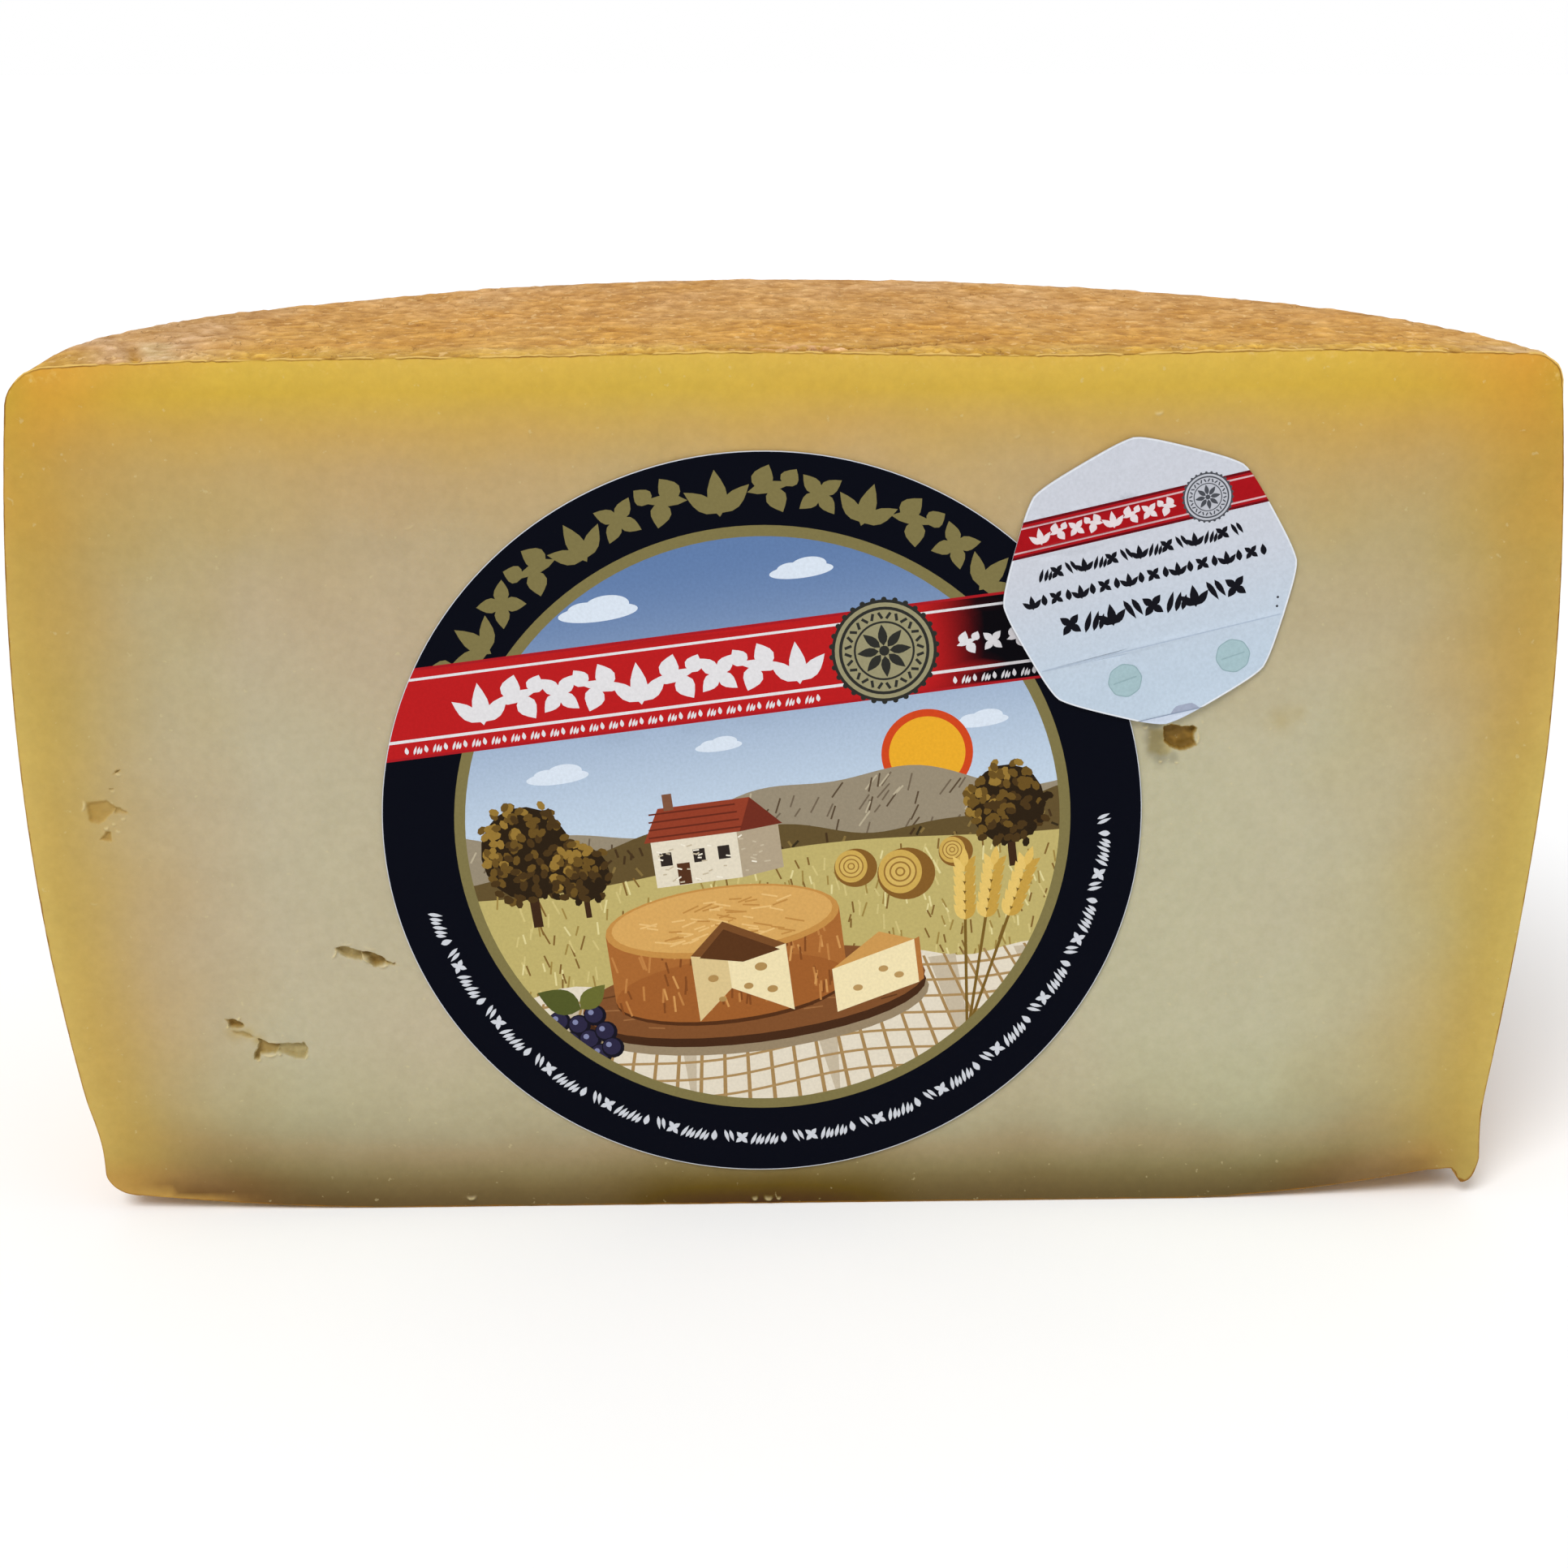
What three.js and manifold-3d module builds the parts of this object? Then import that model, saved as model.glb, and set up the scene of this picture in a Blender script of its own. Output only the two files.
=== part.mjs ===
// Half a wheel of hard smoked sheep's-milk cheese. It stands on its base with the knife cut to the front,
// and a round paper label and a smaller eight-sided control sticker are stuck on the cut face.
// Millimetres, +Z up. While it is built, the cut face is the plane Y = 0 with the wheel's axis at X = 0 on it,
// and Y runs back into the cheese. The group then moves it so that the origin is the middle of the base.
import * as THREE from "three";
import { ParametricGeometry } from "three/addons/geometries/ParametricGeometry.js";
import { mergeVertices } from "three/addons/utils/BufferGeometryUtils.js";
import Module from "manifold-3d";

// The wheel
const HEIGHT = 82;
const BELLY_RADIUS = 70; // the widest radius of the barrel-shaped side
const BELLY_HEIGHT = 47; // where the side is that wide
const UPPER_TAPER = 2.5; // how much narrower the side would be at the top
const LOWER_TAPER = { left: 5.2, right: 3.9 }; // and at the base
const LOWER_CURVE = { left: 2.0, right: 1.6 }; // power of the side's curve below the belly
const TOP_CORNER = { left: 4.2, right: 2.8 }; // radius of the top edge at each end of the cut

// The base is flat in the middle and lifts towards the rim, where the mould pressed a lip on the right-hand end.
const FLAT_RADIUS = 38;
const RIM_START = 62.5; // where the base ends and the bottom corner begins
const RIM_RISE = { left: 1.6, right: 2.8 };
const RISE_CURVE = 1.7;
const RIM_RADIUS = { left: 65.9, right: 67.5 };
const RIM_HEIGHT = { left: 2.6, right: 1.5 }; // from the base's edge up to the start of the side
const LIP = { drop: 1.9, radius: 66.35, width: 1.15 };

// Unevenness of a hand-turned cheese
const LEFT_DROP = { depth: 0.5, start: 30, reach: 35, fade: 7 }; // the top sinks at the cut's left end
const SIDE_WAVES = [
  { height: 0.45, count: 3, phase: 0.6 },
  { height: 0.25, count: 8, phase: 2.0 },
];
const TOP_DIPS = { depth: 0.4, length: 19 };

// Facets
const AROUND = 120; // round the whole wheel
const BASE_STEPS = 9;
const RIM_STEPS = 13;
const SIDE_STEPS = 11;
const CORNER_STEPS = 4;
const TOP_STEPS = 7;

// The paper labels
const PAPER = 0.3; // thickness
const PASTE_GAP = 0.05; // between a label and what it sticks to
const LABEL = { x: -2.4, z: 38.8, radius: 35, facets: 96 };
const STICKER = { x: 32.25, z: 61.75, apothem: 12.5, corner: 13.15, turn: 8.5, sides: 8, facets: 64, rings: 7 };
const DRAPE = { start: 1.5, end: 4.5 }; // from the label's edge, where the sticker comes down onto the cheese

// The eyes and small cracks that the knife opened: outlines on the cut face as [x, z], and how deep each one goes.
const EYE_FLOOR = 0.75; // size of an eye's floor against its mouth
const EYES = [
  { depth: 2.0, outline: [[-64.3, 41.8], [-62.7, 42.0], [-61.3, 41.3], [-60.2, 40.4], [-62.9, 39.5], [-64.1, 39.7]] },
  { depth: 0.9, outline: [[-63.4, 38.0], [-62.8, 39.0], [-62.0, 38.2], [-62.3, 37.8]] },
  { depth: 0.7, outline: [[-61.8, 44.5], [-61.2, 44.9], [-60.6, 44.7], [-61.1, 44.3]] },
  { depth: 2.2, outline: [[-42.7, 27.0], [-41.4, 27.4], [-37.9, 26.2], [-36.7, 25.3], [-39.2, 25.4], [-41.6, 26.4]] },
  { depth: 1.6, outline: [[-53.5, 20.1], [-52.0, 20.2], [-51.5, 19.4], [-52.0, 19.0], [-52.9, 19.2]] },
  { depth: 1.2, outline: [[-49.6, 17.9], [-49.2, 17.5], [-46.1, 17.6], [-45.5, 16.8], [-46.1, 15.8], [-48.6, 16.5],
    [-50.1, 16.4], [-50.4, 15.7], [-50.8, 16.2], [-50.3, 17.3]] },
  { depth: 3.2, outline: [[34.2, 48.4], [37.0, 48.4], [37.4, 47.9], [37.4, 46.2], [35.9, 45.9], [34.4, 46.3]] },
  { depth: 0.5, outline: [[32.7, 48.3], [37.9, 48.1], [37.3, 46.2], [34.7, 45.4], [33.5, 45.0], [32.8, 45.8]] },
];

const { lerp, clamp, smoothstep, degToRad, euclideanModulo } = THREE.MathUtils;

const wasm = await Module();
wasm.setup();

// How far a direction round the axis lies towards the right-hand end of the cut: 1 there, 0 at the left-hand end.
function rightness(angle) {
  return (1 + Math.cos(angle)) / 2;
}

function between(ends, angle) {
  return lerp(ends.left, ends.right, rightness(angle));
}

function sideRadius(z, angle) {
  const below = Math.max(0, BELLY_HEIGHT - z) / BELLY_HEIGHT;
  const above = Math.max(0, z - BELLY_HEIGHT) / (HEIGHT - BELLY_HEIGHT);
  const lowerTuck = between(LOWER_TAPER, angle) * below ** between(LOWER_CURVE, angle);
  return BELLY_RADIUS - lowerTuck - UPPER_TAPER * above ** 2;
}

function baseRise(r, angle) {
  const share = clamp((r - FLAT_RADIUS) / (RIM_START - FLAT_RADIUS), 0, 1);
  return between(RIM_RISE, angle) * share ** RISE_CURVE;
}

// The bottom corner, with the lip hanging from it. u runs from 0 at the base's edge to 1 where the side begins.
function rimPoint(u, angle) {
  const turn = (u * Math.PI) / 2;
  const r = RIM_START + (between(RIM_RADIUS, angle) - RIM_START) * Math.sin(turn);
  const corner = baseRise(RIM_START, angle) + between(RIM_HEIGHT, angle) * (1 - Math.cos(turn));
  const lip = LIP.drop * rightness(angle) ** 4 * Math.exp(-(((r - LIP.radius) / LIP.width) ** 4));
  return [r, corner - lip * (1 - u ** 6)];
}

// The outline of the wheel in one direction from its axis, from the middle of the base to the middle of the top.
function outline(angle) {
  const points = [];
  for (let i = 0; i < BASE_STEPS; i++) {
    const r = RIM_START * Math.sqrt(i / BASE_STEPS);
    points.push([r, baseRise(r, angle)]);
  }
  for (let i = 0; i < RIM_STEPS; i++) points.push(rimPoint(i / RIM_STEPS, angle));
  const low = baseRise(RIM_START, angle) + between(RIM_HEIGHT, angle);
  const corner = between(TOP_CORNER, angle);
  const rim = between(RIM_RADIUS, angle);
  for (let i = 0; i < SIDE_STEPS; i++) {
    const z = lerp(low, HEIGHT - corner, i / SIDE_STEPS);
    points.push([lerp(rim, sideRadius(z, angle), smoothstep(z, low - 1, low + 8)), z]);
  }
  const inner = sideRadius(HEIGHT - corner, angle) - corner;
  for (let i = 0; i < CORNER_STEPS; i++) {
    const turn = (i / CORNER_STEPS) * (Math.PI / 2);
    points.push([inner + corner * Math.cos(turn), HEIGHT - corner + corner * Math.sin(turn)]);
  }
  for (let i = 0; i <= TOP_STEPS; i++) points.push([inner * Math.sqrt(1 - i / TOP_STEPS), HEIGHT]);
  return points;
}

// Bulges that fade out at the two ends of the cut, and a top that isn't quite level.
function unevenness(r, z, angle) {
  const up = z / HEIGHT;
  const bulge = SIDE_WAVES.reduce((sum, w) => sum + w.height * Math.sin(w.count * angle + w.phase), 0);
  const x = r * Math.cos(angle);
  const y = r * Math.sin(angle);
  const nearCut = Math.exp(-((y / LEFT_DROP.fade) ** 2));
  const drop = LEFT_DROP.depth * nearCut * clamp((-x - LEFT_DROP.start) / LEFT_DROP.reach, 0, 1) ** 2;
  const dips = TOP_DIPS.depth * (Math.sin(x / TOP_DIPS.length) * Math.sin(y / TOP_DIPS.length)) ** 2;
  return { out: bulge * Math.sin(angle) * (r / BELLY_RADIUS), down: (drop + dips) * up ** 4 };
}

// A three.js geometry as a solid that can be cut. Poles and seams leave collapsed triangles, which go.
function solidOf(geometry) {
  geometry.deleteAttribute("normal");
  geometry.deleteAttribute("uv");
  const merged = mergeVertices(geometry, 1e-4);
  const index = merged.index.array;
  const kept = [];
  for (let i = 0; i < index.length; i += 3) {
    const [a, b, c] = index.slice(i, i + 3);
    if (a !== b && b !== c && c !== a) kept.push(a, b, c);
  }
  const vertProperties = merged.attributes.position.array;
  return new wasm.Manifold(new wasm.Mesh({ numProp: 3, vertProperties, triVerts: new Uint32Array(kept) }));
}

function geometryOf(solid) {
  const mesh = solid.getMesh();
  const geometry = new THREE.BufferGeometry();
  geometry.setAttribute("position", new THREE.BufferAttribute(mesh.vertProperties, 3));
  geometry.setIndex(new THREE.BufferAttribute(mesh.triVerts, 1));
  return geometry;
}

// The whole wheel, skinned over the outlines in all directions. The seams stand half a facet off the cut.
function wholeWheel() {
  const count = BASE_STEPS + RIM_STEPS + SIDE_STEPS + CORNER_STEPS + TOP_STEPS;
  const halfFacet = Math.PI / AROUND;
  const surface = (u, v, target) => {
    const angle = u * 2 * Math.PI + halfFacet;
    const [r, z] = outline(angle)[Math.round(v * count)];
    const { out, down } = unevenness(r, z, angle);
    target.set((r + out) * Math.cos(angle), (r + out) * Math.sin(angle), z - down);
    if (r === 0) target.set(0, 0, z);
  };
  return solidOf(new ParametricGeometry(surface, AROUND, count));
}

// Everything in front of the knife cut.
function frontBlock() {
  const size = 3 * BELLY_RADIUS;
  return solidOf(new THREE.BoxGeometry(size, size, size).translate(0, -size / 2, 0));
}

// The space of one eye: its outline pushed into the cheese, narrowing to its floor.
function eyeSpace({ depth, outline: mouth }) {
  const points = mouth.map(([x, z]) => new THREE.Vector2(x, z));
  const middle = points.reduce((sum, p) => sum.add(p), new THREE.Vector2()).divideScalar(points.length);
  const front = 1; // how far the cutter stands out of the cut face
  const geometry = new THREE.ExtrudeGeometry(new THREE.Shape(points), { depth: depth + front, bevelEnabled: false });
  const position = geometry.attributes.position;
  for (let i = 0; i < position.count; i++) {
    const size = position.getZ(i) === 0 ? EYE_FLOOR : 1;
    position.setX(i, lerp(middle.x, position.getX(i), size));
    position.setY(i, lerp(middle.y, position.getY(i), size));
  }
  return solidOf(geometry.rotateX(Math.PI / 2).translate(0, depth, 0));
}

function cheese() {
  const material = new THREE.MeshStandardMaterial({ color: 0xd9bd86, roughness: 0.55, metalness: 0 });
  const half = wholeWheel().subtract(frontBlock());
  const carved = EYES.reduce((solid, eye) => solid.subtract(eyeSpace(eye)), half);
  const mesh = new THREE.Mesh(geometryOf(carved), material);
  mesh.name = "cheese";
  return mesh;
}

function roundLabel() {
  const material = new THREE.MeshStandardMaterial({ color: 0x14161f, roughness: 0.4, metalness: 0 });
  const disc = new THREE.CylinderGeometry(LABEL.radius, LABEL.radius, PAPER, LABEL.facets);
  const mesh = new THREE.Mesh(disc, material);
  mesh.name = "round_label";
  mesh.position.set(LABEL.x, -PASTE_GAP - PAPER / 2, LABEL.z);
  return mesh;
}

// Half the sticker's width in one direction: a regular eight-sided outline with its corners rounded off.
function stickerRadius(angle) {
  const wedge = (2 * Math.PI) / STICKER.sides;
  const fromFlat = euclideanModulo(angle - degToRad(STICKER.turn), wedge) - wedge / 2;
  return Math.min(STICKER.apothem / Math.cos(fromFlat), STICKER.corner);
}

// The sticker overlaps the round label's upper right edge, and comes down onto the cheese beyond it.
function controlSticker() {
  const material = new THREE.MeshStandardMaterial({ color: 0xd8dde2, roughness: 0.35, metalness: 0 });
  const { rings, facets } = STICKER;
  const back = Array.from({ length: rings + 1 }, (_, i) => new THREE.Vector2(i / rings, 0));
  const front = back.map((p) => new THREE.Vector2(p.x, PAPER)).reverse();
  const disc = new THREE.LatheGeometry([...back, ...front], facets);
  const position = disc.attributes.position;
  for (let i = 0; i < position.count; i++) {
    const angle = Math.atan2(position.getZ(i), position.getX(i));
    const radius = Math.hypot(position.getX(i), position.getZ(i)) * stickerRadius(angle);
    const x = STICKER.x + radius * Math.cos(angle);
    const z = STICKER.z + radius * Math.sin(angle);
    const beyond = Math.hypot(x - LABEL.x, z - LABEL.z) - LABEL.radius;
    const lift = PASTE_GAP + (PAPER + PASTE_GAP) * (1 - smoothstep(beyond, DRAPE.start, DRAPE.end));
    position.setXYZ(i, x, -lift - PAPER + position.getY(i), z);
  }
  const mesh = new THREE.Mesh(geometryOf(solidOf(disc)), material);
  mesh.name = "control_sticker";
  return mesh;
}

const halfWheel = new THREE.Group();
halfWheel.add(cheese(), roundLabel(), controlSticker());
halfWheel.updateMatrixWorld(true);
const middle = new THREE.Box3().setFromObject(halfWheel, true).getCenter(new THREE.Vector3());
halfWheel.position.set(-middle.x, -middle.y, 0);

export default halfWheel;
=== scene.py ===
"""Looks for the half wheel of smoked cheese.

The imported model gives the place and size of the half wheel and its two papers. Each is replaced by a finer
piece of the same form: the cheese with its rind, eyes and knife cut, and the papers with their print. Shapes
are in millimetres, with x from the wheel's axis, y back from the knife cut and z above the base, and go into
the frame's metres at the end. Colours are sRGB, 0 to 255, as they look on the object, and are divided by the
light that falls there.
"""
from math import cos, pi, radians, sin, sqrt

import bpy
import numpy as np
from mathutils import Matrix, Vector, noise
from mathutils.geometry import delaunay_2d_cdt


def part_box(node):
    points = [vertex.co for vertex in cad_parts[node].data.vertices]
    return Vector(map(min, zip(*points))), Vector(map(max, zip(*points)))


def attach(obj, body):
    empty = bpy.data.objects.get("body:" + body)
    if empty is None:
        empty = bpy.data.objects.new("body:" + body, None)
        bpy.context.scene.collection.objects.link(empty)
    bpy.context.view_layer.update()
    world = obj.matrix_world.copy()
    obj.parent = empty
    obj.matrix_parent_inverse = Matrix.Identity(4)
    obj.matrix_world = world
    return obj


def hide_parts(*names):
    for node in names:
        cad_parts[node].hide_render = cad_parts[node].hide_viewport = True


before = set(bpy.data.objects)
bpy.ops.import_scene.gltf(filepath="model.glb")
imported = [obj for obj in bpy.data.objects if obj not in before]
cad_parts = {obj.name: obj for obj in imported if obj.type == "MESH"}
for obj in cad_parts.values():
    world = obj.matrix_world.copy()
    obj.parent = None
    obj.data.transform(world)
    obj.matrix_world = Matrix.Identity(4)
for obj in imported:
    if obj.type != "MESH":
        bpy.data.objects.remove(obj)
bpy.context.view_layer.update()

# The frame, in metres, and the sizes that come from it, in millimetres
MM = 0.001
LOW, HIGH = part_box("cheese")
AXIS_X = (LOW.x + HIGH.x) / 2
CUT_Y = LOW.y
HEIGHT = (HIGH.z - LOW.z) / MM
BELLY_RADIUS = (HIGH.x - LOW.x) / 2 / MM

# The camera of the photograph, solved from the label's circle and the edges of the cut
CAMERA_PLACE = (-5.45, -201.7, 108.9)
CAMERA_DOWN = 18.08  # degrees
CAMERA_RIGHT = 1.41  # degrees, towards +X
LENS = 53.1
SENSOR = 36.0

# Light
SKY, HORIZON = 0.6, 1.0
SUN_STRENGTH = 2.0
SUN_WIDTH = 30.0  # degrees, which sets how soft its shadows are
SUN_UP, SUN_LEFT = 50.0, 28.0  # degrees above the floor, and to the left of the camera
FACE_LIGHT = 1.205  # light on the cut face, as a share of what shows a colour as it is
TOP_LIGHT = 0.98

# The wheel, as in the CAD. Pairs are the values at the left-hand and right-hand ends of the cut.
BELLY_HEIGHT = 47.0
UPPER_TAPER = 2.5
LOWER_TAPER = (5.2, 3.9)
LOWER_CURVE = (2.0, 1.6)
TOP_CORNER = (4.2, 2.8)
FLAT_RADIUS = 38.0
RIM_START = 62.5
RIM_RISE = (1.6, 2.8)
RISE_CURVE = 1.7
RIM_RADIUS = (65.9, 67.5)
RIM_HEIGHT = (2.6, 1.5)
LIP_DROP, LIP_RADIUS, LIP_WIDTH = 1.9, 66.35, 1.15
LEFT_DROP, DROP_START, DROP_REACH, DROP_FADE = 0.5, 30.0, 35.0, 7.0
SIDE_WAVES = ((0.45, 3, 0.6), (0.25, 8, 2.0))  # height, count, phase
DIP_DEPTH, DIP_LENGTH = 0.4, 19.0
# Where the top stands a little over or under the CAD's: height, x, y, reach in x, reach in y
TOP_SWELLS = (
    (0.42, -4.0, 0.0, 17.0, 9.0), (0.5, 46.0, 0.0, 15.0, 9.0), (-0.22, -66.0, 0.0, 8.0, 5.0),
    (-0.3, -42.0, 46.0, 14.0, 18.0),
)

# Mesh spacing
ROUND_STEPS = 290
BASE_ROWS, RIM_ROWS, SIDE_ROWS, CORNER_ROWS, TOP_ROWS = 5, 20, 96, 9, 8
CHEESE_SHARP, PAPER_SHARP = 38, 50  # degrees between faces, past which an edge stays sharp
BASE_PATCH, TOP_PATCH = 58.0, 60.0  # radii where the strip over the side meets the flat patches
TOP_STEP, BASE_STEP, CUT_STEP, HIDDEN_STEP, EYE_STEP = 0.57, 1.5, 1.1, 2.4, 0.12
BURR_STEP, BURR_BAND = 0.3, 4.0  # finer mesh behind the top edge of the cut
LABEL_MARGIN = 1.5  # how far inside the label's edge the mesh turns coarse

# The papers
PAPER = 0.16
PASTE_GAP = 0.03
LABEL_ROUGH, STICKER_ROUGH = 0.32, 0.30
LABEL_STEP, STICKER_STEP = 1.6, 0.6  # mesh spacing
LABEL_X, LABEL_Z, LABEL_RADIUS, LABEL_TURN = -2.4, 38.8, 35.0, 7.3
STICKER_X, STICKER_Z, STICKER_TURN = 32.25, 61.75, 13.0


def clamp01(value):
    return np.clip(value, 0.0, 1.0)


def smoothstep(value, start, end):
    share = clamp01((value - start) / (end - start))
    return share * share * (3 - 2 * share)


def mix(a, b, share):
    return a + (b - a) * share


def bumps(points, size, octaves=1, shift=0.0):
    """Smooth noise, about -1 to 1, with bumps of that size in millimetres."""
    places = (points / size + shift).tolist()
    if octaves == 1:
        return np.array([noise.noise(p) for p in places])
    return np.array([noise.fractal(p, 1.0, 2.0, octaves) for p in places])


def linear(colour, light=1.0):
    """The base colour that looks like an sRGB colour of 0 to 255 under that much light."""
    share = np.asarray(colour, float) / 255
    return np.where(share <= 0.04045, share / 12.92, ((share + 0.055) / 1.055) ** 2.4) / light


def stepped(value, stops):
    """Colours by value, on straight lines between the stops."""
    places, colours = zip(*stops)
    return np.stack([np.interp(value, places, channel) for channel in np.array(colours).T], axis=1)


def bell(value, reach, power=2):
    """1 in the middle, falling away round the reach."""
    return np.exp(-((value / reach) ** power))


def overlaid(tone, light, *layers):
    """Tones under layers, each a share and an sRGB colour."""
    for share, colour in layers:
        tone = mix(tone, linear(colour, light), share[:, None])
    return tone


# The wheel's shape


def between(ends, angle):
    return mix(ends[0], ends[1], (1 + np.cos(angle)) / 2)


def side_radius(z, angle):
    below = np.maximum(0, BELLY_HEIGHT - z) / BELLY_HEIGHT
    above = np.maximum(0, z - BELLY_HEIGHT) / (HEIGHT - BELLY_HEIGHT)
    tuck = between(LOWER_TAPER, angle) * below ** between(LOWER_CURVE, angle)
    return BELLY_RADIUS - tuck - UPPER_TAPER * above**2


def base_rise(r, angle):
    share = clamp01((r - FLAT_RADIUS) / (RIM_START - FLAT_RADIUS))
    return between(RIM_RISE, angle) * share**RISE_CURVE


def base_height(x, y):
    return base_rise(np.hypot(x, y), np.arctan2(y, x))


def rim_point(u, angle):
    r = RIM_START + (between(RIM_RADIUS, angle) - RIM_START) * sin(u * pi / 2)
    corner = base_rise(RIM_START, angle) + between(RIM_HEIGHT, angle) * (1 - cos(u * pi / 2))
    lip = LIP_DROP * ((1 + np.cos(angle)) / 2) ** 4 * bell(r - LIP_RADIUS, LIP_WIDTH, 4)
    return r, corner - lip * (1 - u**6)


def strip_rows(angle):
    """Radius and height of each row of the strip that runs from the base, over the side, onto the top."""

    def steps(start, end, count):
        return np.linspace(start, end, count, endpoint=False)

    rows = [(r + 0 * angle, base_rise(r, angle)) for r in steps(BASE_PATCH, RIM_START, BASE_ROWS)]
    rows += [rim_point(u, angle) for u in steps(0, 1, RIM_ROWS)]
    low = base_rise(RIM_START, angle) + between(RIM_HEIGHT, angle)
    corner = between(TOP_CORNER, angle)
    for share in steps(0, 1, SIDE_ROWS):
        z = mix(low, HEIGHT - corner, share)
        above_rim = smoothstep(z, low - 1, low + 8)
        rows.append((mix(between(RIM_RADIUS, angle), side_radius(z, angle), above_rim), z))
    inner = side_radius(HEIGHT - corner, angle) - corner
    for turn in steps(0, pi / 2, CORNER_ROWS):
        rows.append((inner + corner * cos(turn), HEIGHT - corner + corner * sin(turn)))
    on_top = np.linspace(0, 1, TOP_ROWS)
    return rows + [(mix(inner, TOP_PATCH, share), HEIGHT + 0 * angle) for share in on_top]


def uneven(points):
    """The bulges and dips of the CAD and the swells of its top, worked out from the even wheel's points."""
    x, y, z = points.T
    angle = np.arctan2(y, x)
    bulge = sum(height * np.sin(count * angle + phase) for height, count, phase in SIDE_WAVES)
    out = bulge * np.sin(angle) * (np.hypot(x, y) / BELLY_RADIUS)
    drop = LEFT_DROP * bell(y, DROP_FADE) * clamp01((-x - DROP_START) / DROP_REACH) ** 2
    dips = DIP_DEPTH * (np.sin(x / DIP_LENGTH) * np.sin(y / DIP_LENGTH)) ** 2
    up = sum(height * bell(x - at_x, reach_x) * bell(y - at_y, reach_y)
             for height, at_x, at_y, reach_x, reach_y in TOP_SWELLS)
    raised = z + up * smoothstep(z, HEIGHT - 6, HEIGHT) - (drop + dips) * (z / HEIGHT) ** 4
    return np.c_[x + out * np.cos(angle), y + out * np.sin(angle), raised]


# Meshing


def hex_points(low, high, step):
    xs = np.arange(low[0], high[0], step)
    ys = np.arange(low[1], high[1], step * sqrt(3) / 2)
    grid_x, grid_y = np.meshgrid(xs, ys)
    grid_x[1::2] += step / 2
    return np.c_[grid_x.ravel(), grid_y.ravel()]


def from_line(points, line):
    """Distance of each point from a line of straight stretches."""
    nearest = np.full(len(points), np.inf)
    for start, end in zip(line, line[1:]):
        edge = end - start
        share = clamp01((points - start) @ edge / (edge @ edge))
        nearest = np.minimum(nearest, np.linalg.norm(points - start - share[:, None] * edge, axis=1))
    return nearest


def depth_inside(points, outline):
    """Distance of each point from a closed outline, positive inside it."""
    x, y = points.T
    closed = np.vstack([outline, outline[:1]])
    inside = np.zeros(len(points), bool)
    for start, end in zip(closed, closed[1:]):
        if start[1] != end[1]:
            edge = end - start
            crosses = (start[1] > y) != (end[1] > y)
            inside ^= crosses & (x < edge[0] * (y - start[1]) / edge[1] + start[0])
    return from_line(points, closed) * np.where(inside, 1, -1)


def spread(outline, step, margin=0.55):
    inner = hex_points(outline.min(axis=0), outline.max(axis=0), step)
    return inner[depth_inside(inner, outline) > step * margin]


def loop_edges(count, start=0):
    return [(start + i, start + (i + 1) % count) for i in range(count)]


def fill(outline, inner):
    """Triangles that fill an outline, using its own points and the inner ones."""
    flat = np.vstack([outline, inner])
    result = delaunay_2d_cdt(flat.tolist(), loop_edges(len(outline)), [], 0, 1e-6, True)
    source = np.array([origin[0] for origin in result[3]])
    faces = source[np.array(result[2])]
    return faces[depth_inside(flat[faces].mean(axis=1), outline) > 0]


class Shell:
    """The cheese's vertices and faces. Patches share the vertices along their seams."""

    def __init__(self):
        self.points = np.empty((0, 3))
        self.faces = {"rind": [], "paste": []}

    def add(self, points):
        first = len(self.points)
        self.points = np.vstack([self.points, points])
        return np.arange(first, len(self.points))

    def patch(self, kind, seam, axes, spacing, lift, flip):
        """Fills a loop of seam vertices, seen along an axis. spacing() gives the patch's own flat points."""
        outline = self.points[seam][:, axes]
        inner = spacing(outline)
        faces = fill(outline, inner)
        faces = np.r_[seam, self.add(lift(inner))][faces]
        self.faces[kind].append(faces[:, ::-1] if flip else faces)


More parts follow.
